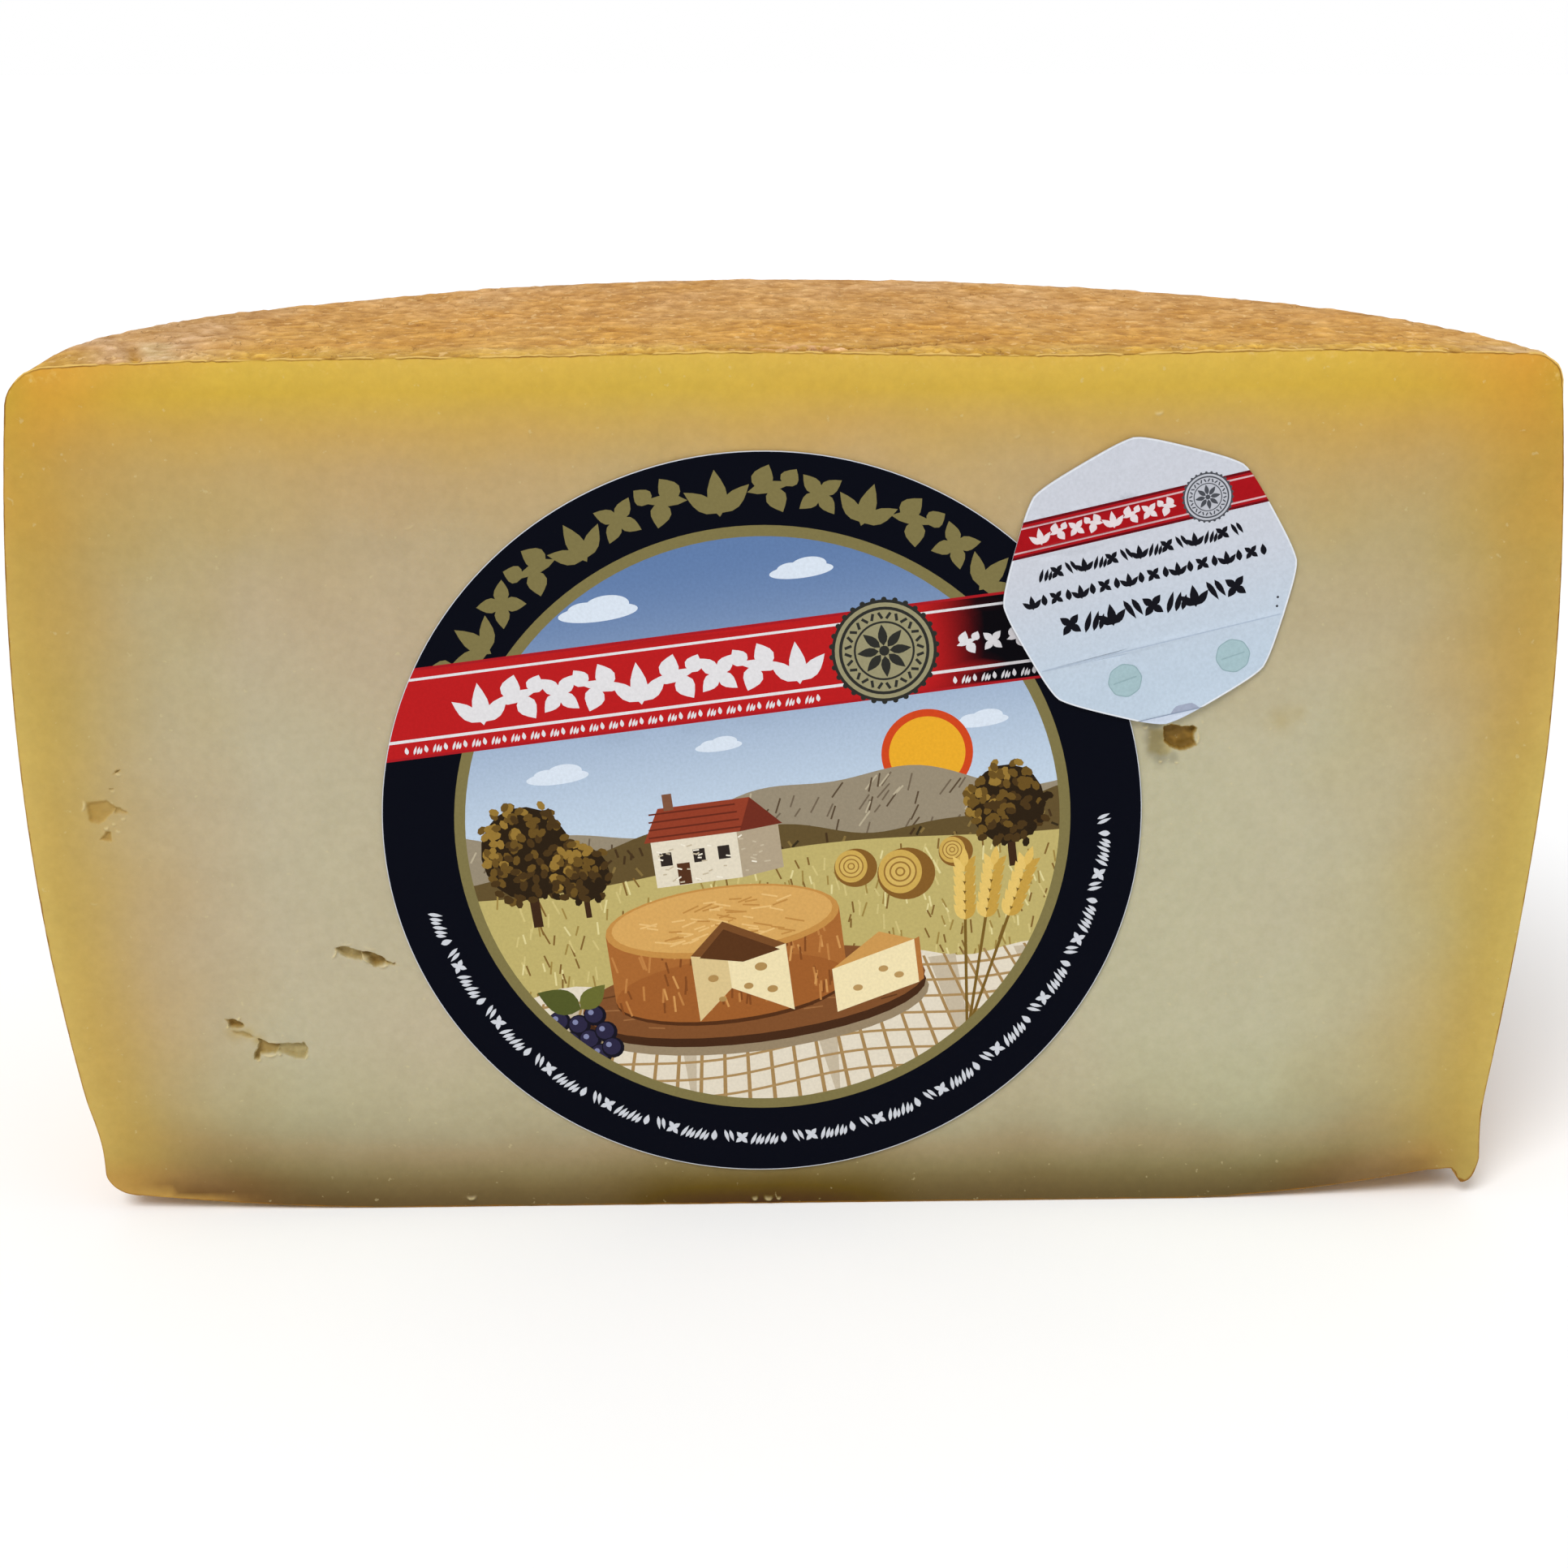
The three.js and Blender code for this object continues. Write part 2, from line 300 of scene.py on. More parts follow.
# The eyes and cracks that the knife opened: depth, width of the wall, how brown it is inside, and outline
EYES = (
    (0.22, 0.35, 0.36, ((-64.3, 41.8), (-63.7, 41.9), (-62.4, 42.0), (-61.6, 41.4), (-61.2, 41.2),
     (-61.7, 40.8), (-62.4, 40.3), (-62.7, 39.8), (-63.3, 39.6), (-63.9, 39.7), (-64.2, 40.0),
     (-64.3, 41.2))),
    (0.20, 0.30, 0.26, ((-61.8, 41.4), (-61.2, 41.3), (-60.6, 40.9), (-60.2, 40.4), (-61.2, 40.6),
     (-61.9, 40.5))),
    (0.24, 0.25, 0.38, ((-63.4, 38.1), (-62.9, 38.7), (-62.7, 39.0), (-62.2, 38.9), (-62.2, 37.8),
     (-62.8, 37.9))),
    (0.25, 0.20, 0.36, ((-61.7, 44.4), (-61.3, 44.8), (-60.7, 44.9), (-61.0, 44.6), (-61.4, 44.3))),
    (0.15, 0.20, 0.16, ((-62.2, 43.1), (-61.6, 43.1), (-61.7, 42.8), (-61.9, 42.8))),
    (0.60, 0.30, 0.42, ((-42.6, 27.2), (-41.9, 27.4), (-41.4, 27.4), (-40.7, 27.1), (-40.0, 26.9),
     (-39.9, 26.4), (-40.0, 25.9), (-41.5, 26.2), (-42.0, 26.5), (-42.4, 26.9))),
    (0.80, 0.30, 0.64, ((-40.2, 26.9), (-39.5, 26.9), (-38.7, 26.6), (-37.9, 26.2), (-37.6, 25.7),
     (-38.2, 25.4), (-38.8, 25.2), (-39.2, 25.4), (-39.6, 26.1), (-40.0, 26.4))),
    (0.30, 0.20, 0.62, ((-37.9, 26.0), (-37.2, 25.7), (-36.5, 25.4), (-37.1, 25.4), (-37.9, 25.5))),
    (0.60, 0.30, 0.68, ((-53.3, 20.1), (-52.2, 20.1), (-52.1, 19.9), (-51.6, 19.7), (-51.4, 19.4),
     (-51.6, 19.1), (-52.6, 19.1), (-52.9, 19.2), (-53.0, 19.7))),
    (0.22, 0.25, 0.42, ((-52.9, 18.9), (-51.6, 18.9), (-50.7, 18.4), (-50.3, 18.1), (-50.9, 18.0),
     (-52.4, 18.4))),
    (0.50, 0.25, 0.60, ((-50.5, 18.2), (-49.9, 18.0), (-49.3, 17.6), (-48.2, 17.5), (-48.3, 16.8),
     (-48.7, 16.5), (-50.1, 16.4), (-50.3, 15.7), (-50.8, 15.9), (-50.8, 16.5), (-50.4, 17.1),
     (-50.3, 17.7))),
    (0.50, 0.30, 0.33, ((-48.6, 17.5), (-47.9, 17.6), (-46.2, 17.6), (-46.0, 17.8), (-45.6, 17.1),
     (-45.6, 16.6), (-46.0, 15.8), (-46.8, 15.9), (-47.7, 16.3), (-48.6, 16.6))),
    (0.60, 0.25, 1.30, ((34.2, 48.3), (35.0, 48.5), (36.0, 48.3), (36.9, 48.4), (37.4, 48.1), (37.1, 47.4),
     (37.2, 47.0), (37.4, 46.4), (36.4, 46.0), (35.9, 45.9), (34.9, 46.2), (34.3, 46.8))),
    (0.16, 1.20, 0.27, ((32.7, 48.2), (34.2, 48.3), (35.0, 48.3), (35.4, 46.0), (34.9, 45.4), (34.0, 45.2),
     (33.3, 45.5), (32.7, 45.8))),
)
EYE_MARGIN = 0.6  # fine mesh reaches this far round an eye
# Scraps and scars that stand out on the cut: middle, half length and width, tilt in degrees, and height
SCRAPS = (
    (-64.45, 41.4, 0.45, 0.12, 80, 0.14), (-62.6, 39.2, 0.20, 0.12, 20, 0.16),
    (-61.9, 39.6, 0.15, 0.10, 0, 0.12), (-61.6, 38.9, 0.20, 0.10, -30, 0.12),
    (-61.0, 40.1, 0.20, 0.10, 10, 0.10), (-61.1, 44.4, 0.25, 0.10, -20, 0.12),
    (-61.7, 42.8, 0.20, 0.10, 0, 0.08), (-42.5, 26.6, 0.45, 0.10, 65, 0.18),
    (-39.7, 26.05, 0.5, 0.12, -50, 0.30), (-38.0, 25.35, 0.45, 0.12, 18, 0.18),
    (-41.4, 27.55, 0.50, 0.08, -5, 0.06), (-39.3, 27.1, 0.5, 0.08, -14, 0.06),
    (-51.95, 20.1, 0.20, 0.10, 40, 0.15), (-53.0, 19.3, 0.20, 0.10, 60, 0.12),
    (-48.9, 17.7, 0.45, 0.08, -5, 0.06), (-49.2, 16.3, 0.60, 0.12, 3, 0.15),
    (-48.3, 16.4, 0.15, 0.12, 0, 0.20), (-45.8, 16.1, 0.25, 0.10, 70, 0.12),
    (-50.3, 15.8, 0.20, 0.10, 30, 0.15), (32.6, 48.2, 0.25, 0.15, 20, 0.10),
    (37.45, 47.1, 0.60, 0.12, 85, 0.16), (34.1, 44.9, 0.15, 0.10, 0, 0.12),
    (35.6, 44.8, 0.15, 0.10, 0, 0.12), (32.4, 76.9, 0.35, 0.14, 12, 0.10),
    (20.0, 74.9, 0.25, 0.08, 30, 0.06), (-33.5, 67.1, 0.50, 0.08, 25, 0.04),
    (-64.4, 31.8, 0.30, 0.08, -8, 0.05), (-3.3, 0.6, 0.25, 0.15, 10, 0.30),
    (-2.0, 0.6, 0.35, 0.18, -5, 0.35), (-1.0, 0.6, 0.20, 0.12, 0, 0.25), (-30.8, 1.0, 0.40, 0.15, 4, 0.30),
)
# Faint brown stains on the cut: place, radius and how brown
STAINS = (
    (-13.4, 77.7, 0.3, 1.0), (-52.4, 18.7, 0.8, 0.2), (-51.2, 18.6, 0.6, 0.22), (-50.3, 17.9, 0.5, 0.26),
    (-39.3, 80.6, 0.35, 0.22), (45.0, 48.9, 1.1, 0.16), (46.3, 49.6, 0.7, 0.12),
)
# Where the dip beside the last eye lies in shade: place, radius and how dark
SHADES = (
    (33.2, 48.3, 0.9, 0.38), (33.5, 47.2, 1.1, 0.40), (34.0, 47.4, 0.6, 0.38), (33.6, 46.2, 1.0, 0.38),
    (34.1, 45.5, 0.9, 0.34), (35.2, 45.3, 0.6, 0.25),
)


def fine_zones():
    zones = []
    for _, _, _, outline in EYES:
        corners = np.array(outline)
        zones.append((corners.min(axis=0) - EYE_MARGIN, corners.max(axis=0) + EYE_MARGIN))
    for x, z, long, wide, _, _ in SCRAPS:
        zones.append((np.array((x, z)) - long - wide, np.array((x, z)) + long + wide))
    return zones


def in_zone(points, zone, margin=0.0):
    low, high = zone
    return ((points > low - margin) & (points < high + margin)).all(axis=1)


def past_label(flat):
    """How far points of the cut lie beyond the label's edge."""
    return np.hypot(flat[:, 0] - LABEL_X, flat[:, 1] - LABEL_Z) - LABEL_RADIUS


def cut_points(outline):
    """Where the cut face's own vertices lie: fine round the marks, coarse where the label hides it."""
    zones = fine_zones()
    fine = []
    for number, zone in enumerate(zones):
        points = hex_points(*zone, EYE_STEP)
        for earlier in zones[:number]:
            points = points[~in_zone(points, earlier, EYE_STEP * 0.6)]
        fine.append(points)
    fine = np.vstack(fine)
    plain = spread(outline, CUT_STEP)
    hidden = spread(outline, HIDDEN_STEP)
    under = past_label(hidden) < -LABEL_MARGIN - HIDDEN_STEP / 2
    coarse = np.vstack([plain[past_label(plain) > -LABEL_MARGIN], hidden[under]])
    for zone in zones:
        coarse = coarse[~in_zone(coarse, zone, CUT_STEP * 0.4)]
    return np.vstack([fine[depth_inside(fine, outline) > EYE_STEP], coarse])


def top_points(outline):
    plain = spread(outline, TOP_STEP)
    by_cut = hex_points(outline.min(axis=0), (outline[:, 0].max(), BURR_BAND), BURR_STEP)
    by_cut = by_cut[depth_inside(by_cut, outline) > BURR_STEP / 2]
    return np.vstack([plain[plain[:, 1] > BURR_BAND + BURR_STEP], by_cut])


def build_shell():
    shell = Shell()
    angle = np.linspace(0, pi, ROUND_STEPS + 1)
    rows = [np.c_[r * np.cos(angle), r * np.sin(angle), z] for r, z in strip_rows(angle)]
    grid = np.array([shell.add(row) for row in rows])
    shell.points[grid[:, [0, -1]], 1] = 0.0
    quads = np.stack([grid[:-1, :-1], grid[:-1, 1:], grid[1:, 1:], grid[1:, :-1]], axis=-1)
    shell.faces["rind"].append(quads.reshape(-1, 4))

    def top_height(x, y):
        return np.full_like(x, HEIGHT)

    def straight(reach, step, height):
        xs = np.linspace(-reach, reach, round(2 * reach / step) + 1)[1:-1]
        return shell.add(np.c_[xs, 0 * xs, height(xs, 0 * xs)])

    top_edge = straight(TOP_PATCH, BURR_STEP, top_height)
    base_edge = straight(BASE_PATCH, BASE_STEP / 2, base_height)
    cut_seam = np.r_[base_edge, grid[:, 0], top_edge[::-1], grid[::-1, -1]]
    rim_and_top, rim_and_base = np.r_[grid[-1], top_edge], np.r_[grid[0], base_edge]
    shell.patch("rind", rim_and_top, [0, 1], top_points,
                lambda flat: np.c_[flat, top_height(*flat.T)], False)
    shell.patch("rind", rim_and_base, [0, 1], lambda outline: spread(outline, BASE_STEP),
                lambda flat: np.c_[flat, base_height(*flat.T)], True)
    shell.patch("paste", cut_seam, [0, 2], cut_points, lambda flat: np.insert(flat, 1, 0.0, axis=1), False)
    return shell, cut_seam


def triangles_of(faces):
    out = []
    for block in faces:
        if block.shape[1] == 4:
            out += [block[:, [0, 1, 2]], block[:, [0, 2, 3]]]
        else:
            out.append(block)
    return np.vstack(out)


def vertex_normals(points, faces):
    tri = triangles_of(faces)
    a, b, c = points[tri.T]
    flat = np.cross(b - a, c - a)
    out = np.zeros_like(points)
    for corners in tri.T:
        np.add.at(out, corners, flat)
    return out / np.maximum(np.linalg.norm(out, axis=1, keepdims=True), 1e-12)


# The rind

CLOTH_PITCH = 2.2  # threads of the cloth that the cheese was pressed in
CLOTH_DEPTH = 0.11
WRINKLE_SIZE = 2.0
WRINKLE_DEPTH = 0.16
PIT_SIZE = 1.1
PIT_DEPTH = 0.06
RIM_WAVE_SIZE = 14.0
RIM_WAVE = 0.2
BURR_REACH, BURR_HEIGHT = 0.4, 0.12
CRUMB_SIZE, CRUMB_REACH, CRUMB_HEIGHT = 0.8, 5.0, 0.30
CREASE_X, CREASE_LEAN, CREASE_WIDTH, CREASE_LENGTH, CREASE_DEPTH = -56.3, -0.28, 0.55, 11.0, 0.45
# Cracks behind the cut: half width, depth, and the line over the top in x and y
RIND_CRACKS = (
    (0.75, 0.45, ((1.5, 1.2), (4.0, 2.2), (6.3, 3.2), (8.6, 5.3), (11.4, 8.2), (14.1, 10.2))),
    (0.45, 0.30, ((8.2, 5.6), (9.8, 7.4), (10.8, 6.6))),
    (0.6, 0.35, ((10.0, 4.0), (12.1, 5.9), (15.5, 9.5), (18.5, 12.5))),
    (0.5, 0.25, ((-0.5, 22.5), (0.8, 21.5), (2.2, 22.0))),
    (0.45, 0.30, ((22.6, 12.0), (23.8, 9.6), (25.4, 8.8), (27.5, 9.6))),
    (0.4, 0.25, ((-36.0, 3.4), (-33.0, 4.6), (-30.5, 4.4))),
    (0.4, 0.25, ((50.0, 5.0), (53.5, 6.6), (56.0, 6.2))),
    (0.4, 0.35, ((0.8, 0.7), (3.4, 0.6))),
    (0.4, 0.30, ((-3.4, 2.7), (0.2, 2.2), (2.6, 2.9))),
    (0.35, 0.30, ((5.4, 1.6), (7.6, 2.2), (9.4, 1.9))),
)

# Colours of the rind by distance behind the cut
RIND_TINTS = (
    (0, (199, 153, 62)), (1.5, (203, 159, 70)), (5, (208, 162, 80)), (8, (204, 152, 72)),
    (18, (203, 150, 70)), (27, (204, 153, 82)), (60, (201, 153, 94)),
)
RIND_FAR_LEFT = (199, 158, 111)
RIND_FAR_RIGHT = (214, 176, 124)
CREASE_TONE = (192, 146, 50)
CREASE_SHADE = (160, 112, 62)
# Dark tone of the cracks behind the cut: partly their own colour, partly painted shade in them
CRACK_TONE = (118, 68, 20)
DARK_PATCH = (160, 108, 36)
SCUFF_TONE = (212, 184, 138)
PINK_SCUFF = (208, 168, 124)
FLAKE_TONE = (222, 172, 118)
BURR_TONE = (228, 188, 104)
# Fine cracks over the rind: partly their own darker colour, partly painted shade
FINE_CRACK_TONE = (150, 100, 45)
FLECK_TONE = (238, 200, 140)
FLAKES_X, DARK_PATCH_X = 1.5, -2.5
# What the rind's tone is multiplied by, from its cracks to its crests, partly its own colour and partly
# painted shade in the cracks and painted highlight on the crests, and by a finer mottle
CREST_TINTS = ((0.0, (0.74, 0.66, 0.52)), (0.3, (0.92, 0.89, 0.82)), (0.65, (1.06, 1.07, 1.10)),
               (1.0, (1.22, 1.30, 1.50)))
MOTTLE_TINTS = ((0.32, (0.78, 0.70, 0.55)), (0.5, (1.0, 1.0, 1.0)), (0.68, (1.24, 1.30, 1.50)))


def wrinkles(points):
    """Dried-crust ridges, 0 in the cracks to about 1 on the crests."""
    warp = np.stack([bumps(points, 7.0, 2, shift) for shift in (3.1, 8.4, 13.7)], axis=1)
    bent = (points + 2.2 * warp) * (1.0, 0.5, 1.0)
    coarse = 1 - np.abs(bumps(bent, WRINKLE_SIZE, 1, 21.0)) * 1.8
    finer = 1 - np.abs(bumps(bent, WRINKLE_SIZE / 2.1, 1, 37.0)) * 1.8
    return clamp01(1 - (0.65 * coarse + 0.35 * finer))


def from_crease(x, y):
    return x - CREASE_X - CREASE_LEAN * y


def crease(points):
    """A short crease in the top near the left-hand end of the cut, 0 to 1."""
    x, y, z = points.T
    along = 1 - smoothstep(y, CREASE_LENGTH * 0.4, CREASE_LENGTH)
    return bell(from_crease(x, y), CREASE_WIDTH) * along * smoothstep(z, HEIGHT - 4, HEIGHT - 2)


def cracks(points):
    """Depth of the cracks behind the cut, in millimetres."""
    deep = np.zeros(len(points))
    on_top = np.flatnonzero((points[:, 2] > HEIGHT - 2) & (points[:, 1] < 25))
    flat = points[on_top, :2] + 0.25 * bumps(points[on_top], 1.5, 2, 57.0)[:, None]
    for half, depth, line in RIND_CRACKS:
        away = from_line(flat, np.array(line))
        deep[on_top] = np.maximum(deep[on_top], depth * (1 - smoothstep(away, 0.1, half)))
    return deep


def crumbs(points):
    """Crumbs that the knife tore up behind the cut, 0 to 1."""
    _, y, z = points.T
    lumps = clamp01(0.45 + 1.3 * bumps(points * (1, 0.45, 1), CRUMB_SIZE, 3, 15.0))
    patches = clamp01(0.7 + 0.9 * bumps(points * (1, 0.3, 1), 8.0, 2, 35.0))
    on_top = smoothstep(z, HEIGHT - 4, HEIGHT - 1)
    return lumps * patches * bell(y, CRUMB_REACH) * smoothstep(y, 0.1, 0.8) * on_top


def rind_relief(points, normals):
    """How far the rind stands out, and how high on its ridges each point is."""
    x, y, z = points.T
    facing_side = clamp01(1 - np.abs(normals[:, 2]) * 1.15)
    crest = wrinkles(points)
    pits = bumps(points, PIT_SIZE, 2, 51.0)
    around = np.cos(2 * pi * np.arctan2(y, x) * BELLY_RADIUS / CLOTH_PITCH)
    across = np.cos(2 * pi * z / CLOTH_PITCH + 0.8 * bumps(points, 14.0, 1, 5.0))
    cloth = (0.65 * across + 0.35 * around) * clamp01(0.55 + 0.9 * bumps(points, 11.0, 2, 61.0))
    wave = RIM_WAVE * bumps(points * (1, 1, 0.2), RIM_WAVE_SIZE, 1, 71.0) * bell(z - HEIGHT, 7.0)
    relief = mix(1.0, 0.55, facing_side) * (WRINKLE_DEPTH * (crest - 0.55) + PIT_DEPTH * pits)
    relief += (CLOTH_DEPTH * cloth + wave) * facing_side
    relief *= mix(mix(0.3, 0.12, facing_side), 1.0, smoothstep(y, 0, 3.0))
    torn = crumbs(points)
    near = bell(y, CRUMB_REACH)
    relief += CRUMB_HEIGHT * (torn - 0.25 * near)
    relief -= CREASE_DEPTH * crease(points) * smoothstep(y, -0.2, 0.6) + cracks(points)
    return relief, mix(crest + 0.25 * pits, 0.08 + 1.7 * torn, 0.75 * near)


def burr_height(points):
    """The ragged burr that the knife left along the top edge, 0 to 1."""
    _, y, z = points.T
    lumps = clamp01(0.45 + 1.1 * bumps(points * (1, 0.3, 1), 2.4, 2, 83.0))
    return lumps * bell(y, BURR_REACH) * smoothstep(z, HEIGHT - 4, HEIGHT - 1)


def rind_tones(points):
    """Base colour of the rind: orange tan, with paler and pinker clouds, and yellower by the cut."""
    x, y, z = points.T
    behind = y * (1 + 0.3 * bumps(points, 12.0, 2, 27.0))
    on_top = smoothstep(z, HEIGHT - 8, HEIGHT - 2)
    by_end = smoothstep(-x, 59, 63) * (1 - smoothstep(y, 5, 11))
    far_left = 0.85 * smoothstep(-x, 46, 56) * on_top * (1 - by_end)
    far_right = smoothstep(x, 57, 63) * (0.2 + 0.6 * (1 - smoothstep(y, 3, 6))) * on_top
    tone = overlaid(linear(stepped(behind, RIND_TINTS), TOP_LIGHT), TOP_LIGHT,
                    (far_left, RIND_FAR_LEFT), (far_right, RIND_FAR_RIGHT))
    tone *= 1 - np.outer(by_end, (0.10, 0.13, 0.12))
    cloudy = bumps(points * (1, 0.5, 1), 5.0, 3, 91.0) + 0.12 * smoothstep(np.hypot(x, y), 48, 68)
    tone *= 1 + np.outer(cloudy, (0.06, 0.14, 0.42))
    flakes = clamp01(2.2 * crumbs(points) * bell(x - FLAKES_X, 5.0, 4))
    tone = overlaid(tone, TOP_LIGHT, (flakes, FLAKE_TONE))
    patches = bumps(points * (1, 0.5, 1), 5.5, 2, 43.0) * bell(y, 4.5) * on_top
    tone *= 1 + np.outer(patches, (0.16, 0.22, 0.30))
    beside = from_crease(x, y)
    worn = clamp01(0.7 + bumps(points, 3.0, 2, 33.0)) * bell(y - 5.5, 5.0, 4)
    dark_patch = 0.55 * bell(x - DARK_PATCH_X, 7.5, 4) * bell(y - 1.6, 1.7) * on_top
    fold = crease(points)
    # Scuffs and a dark patch; the crease's tone and its painted shade; the cracks' dark tone, partly painted
    # shade
    tone = overlaid(tone, TOP_LIGHT, (worn * bell(beside - 2.2, 1.6, 4), SCUFF_TONE),
                    (worn * bell(beside + 1.4, 1.2, 4), PINK_SCUFF), (dark_patch, DARK_PATCH),
                    (fold, CREASE_TONE), (0.7 * fold * smoothstep(y, 2, 5), CREASE_SHADE),
                    (clamp01(2.6 * cracks(points)), CRACK_TONE))
    return tone * (1 + 0.06 * bumps(points, 4.0, 2, 7.0))[:, None]


# The cut face

DEEP = (188, 177, 147)
# Colours of the paste by depth in millimetres below the top, in from the side, and above the base
TOP_TINTS = (
    (0, (219, 181, 76)), (3, (208, 171, 64)), (6, (200, 163, 88)), (10, (191, 162, 110)),
    (17, (184, 166, 127)), (27, (186, 172, 139)), (38, DEEP),
)
SIDE_TINTS = (
    (0, (203, 173, 90)), (2.5, (194, 163, 84)), (5, (190, 161, 92)), (9, (187, 164, 115)),
    (14, (186, 170, 134)), (22, DEEP),
)
# The dark over the base is partly the paste's own darker colour and partly painted shade near the floor
BASE_TINTS = (
    (0.5, (98, 78, 39)), (2.5, (119, 101, 59)), (4, (140, 124, 83)), (6, (160, 142, 105)),
    (8, (168, 157, 123)), (10, (177, 167, 133)), (13, (183, 173, 140)), (18, DEEP),
)
LEAST_BLUE = 0.12  # share of the deep paste's blue that is left under the rind
# What the paste's tone is multiplied by, by how brown it is
EYE_BROWNS = (
    (0, (1.0, 1.0, 1.0)), (0.25, (0.93, 0.84, 0.59)), (0.5, (0.80, 0.65, 0.34)),
    (0.75, (0.74, 0.50, 0.17)), (1, (0.66, 0.39, 0.08)), (1.3, (0.42, 0.25, 0.05)),
)
# Pale tone of the raised scraps: partly their own paler crumbs, partly painted highlight on them
SCRAP_TONE = (222, 204, 152)
SPECK_TONE = (214, 200, 150)
EDGE_FLAKE_TONE = (228, 190, 100)
EDGE_LINE_TONE = (134, 90, 22)
GLOW = {"Subsurface Weight": 0.12, "Subsurface Radius": (1.0, 0.55, 0.2), "Subsurface Scale": 1.2 * MM}


def share_of_deep(depth, tints):
    return stepped(depth, [(place, linear(colour) / linear(DEEP)) for place, colour in tints])


def paste_tones(points, side, top, base, brown, shade, scrap):
    """Base colour of the paste: yellow under the rind, paler inside, and dark over the base, partly its own
    colour and partly painted shade.
    """
    x, _, z = points.T
    wander = 1 + 0.13 * bumps(points, 10.0, 2, 41.0)
    from_top = share_of_deep(top * wander, TOP_TINTS)
    from_side = share_of_deep(side * wander, SIDE_TINTS)
    red, green, _ = (from_top * from_side).T
    red = np.minimum(red, np.maximum(1, np.maximum(from_top[:, 0], from_side[:, 0])))
    green = (green + np.minimum(from_top[:, 1], from_side[:, 1])) / 2
    blue = (from_top[:, 2] - LEAST_BLUE) * (from_side[:, 2] - LEAST_BLUE) / (1 - LEAST_BLUE)
    blue = LEAST_BLUE + np.maximum(blue, 0)
    blue *= 1 - 0.12 * smoothstep(np.abs(x), 35, 50) * smoothstep(z, 60, 70)
    tone = np.stack([red, green, blue], axis=1)
    tone *= 1 - np.outer((1 - smoothstep(side, 2, 9)) * (x > 0), (0.03, 0.07, 0.09))
    tone[:, 0] *= 1 - 0.14 * (1 - smoothstep(side, 0, 6)) * (1 - smoothstep(top, 1, 7))
    # How strongly the dark over the base shows, its own colour and painted shade together: weaker within 14
    # mm of the sides, less so right at the foot
    at_foot = (1 - smoothstep(base, 0.8, 2.6)) * smoothstep(side, 2, 7)
    shaded = mix(0.3 + 0.7 * smoothstep(side, 0, 14), 1.0, 0.8 * at_foot)
    # Painted shadow of the label on the paste just below it, and the base's dark a little weaker at the
    # right-hand end
    shaded *= 1 + 0.15 * bell(x - LABEL_X, 13, 4) - 0.18 * smoothstep(x, 50, 58)
    base_tint_and_shade = (1 - share_of_deep(base * wander, BASE_TINTS)) * shaded[:, None]
    redder = smoothstep(np.abs(x), 44, 54) * (1 - smoothstep(base, 1.5, 5))
    redder *= np.where(x > 0, smoothstep(side, 1, 6), 1.0)
    greener = smoothstep(x, 18, 36) * (1 - smoothstep(z, 42, 60))
    tone *= linear(DEEP, FACE_LIGHT) * (1 - base_tint_and_shade)
    for share, change in (
        (redder, (0.08, -0.08, -0.15)),
        (bumps(points, 24.0, 2, 19.0), (-0.02, 0.03, 0.01)),
        (greener, (0.0, 0.065, 0.06)),
        (bumps(points, 4.0, 3, 25.0), (0.03, 0.03, 0.03)),
    ):
        tone *= 1 + np.outer(share, change)
    tone *= stepped(brown, EYE_BROWNS) * (1 - shade)[:, None]
    # Pale raised scraps, partly painted highlight
    return overlaid(tone, FACE_LIGHT, (scrap, SCRAP_TONE))


def scrap_heights(flat):
    """How far each cut-face point stands out for the scraps, and how much of one it is, which sets their
    pale tone, partly painted highlight.
    """
    out, share = np.zeros((2, len(flat)))
    for x, z, long, wide, tilt, height in SCRAPS:
        along, across = turned(flat - (x, z), -tilt).T
        bend = across - 0.25 * (along**2 - 0.3 * long**2) / long
        one = bell(along, long, 4) * bell(bend, wide)
        out += height * one
        share = np.maximum(share, 0.6 * one * clamp01(height / 0.12))
    return out, share


def spots(flat, table, power):
    """The strongest of some round spots at each point, each a place, a radius and a strength."""
    return np.max([strength * bell(np.hypot(*(flat - (x, z)).T), radius, power)
                   for x, z, radius, strength in table], axis=0)


def eye_depths(flat, points):
    """How deep each cut-face point lies in an eye, and how brown and how shaded it is there."""
    deep, brown = np.zeros((2, len(flat)))
    ragged = 0.07 * bumps(points, 0.45, 2, 4.0)
    floor = 1 + 0.3 * bumps(points, 0.9, 2, 9.0)
    for depth, wall, stain, outline in EYES:
        near = in_zone(flat, (np.min(outline, axis=0), np.max(outline, axis=0)), EYE_MARGIN)
        inside = depth_inside(flat[near], np.array(outline)) + ragged[near]
        walled = smoothstep(inside, 0, wall)
        stained = smoothstep(inside, -0.05, max(0.22, 0.5 * wall))
        deep[near] = np.maximum(deep[near], depth * floor[near] * walled)
        brown[near] = np.maximum(brown[near], stain * floor[near] ** 0.5 * stained)
    brown = np.minimum(np.maximum(brown, spots(flat, STAINS, 2)), EYE_BROWNS[-1][0])
    return deep, brown, spots(flat, SHADES, 4) * (1 - smoothstep(brown, 0.4, 0.8))


def depths_in(points):
    """How far each point of the cut face lies in from the side, below the top and above the base."""
    x, _, z = points.T
    columns = np.array([(r[0], h[0], r[-1], h[-1]) for r, h in strip_rows(np.array((0.0, pi)))])

    def reach(radius, height):
        climb = columns[np.argsort(columns[:, height])]
        return np.interp(z, climb[:, height], np.maximum.accumulate(climb[:, radius]))

    side = np.maximum(np.where(x > 0, reach(0, 1), reach(2, 3)) - np.abs(x), 0)
    base = np.maximum(z - base_height(x, 0 * x), 0)
    return side, HEIGHT - z, base


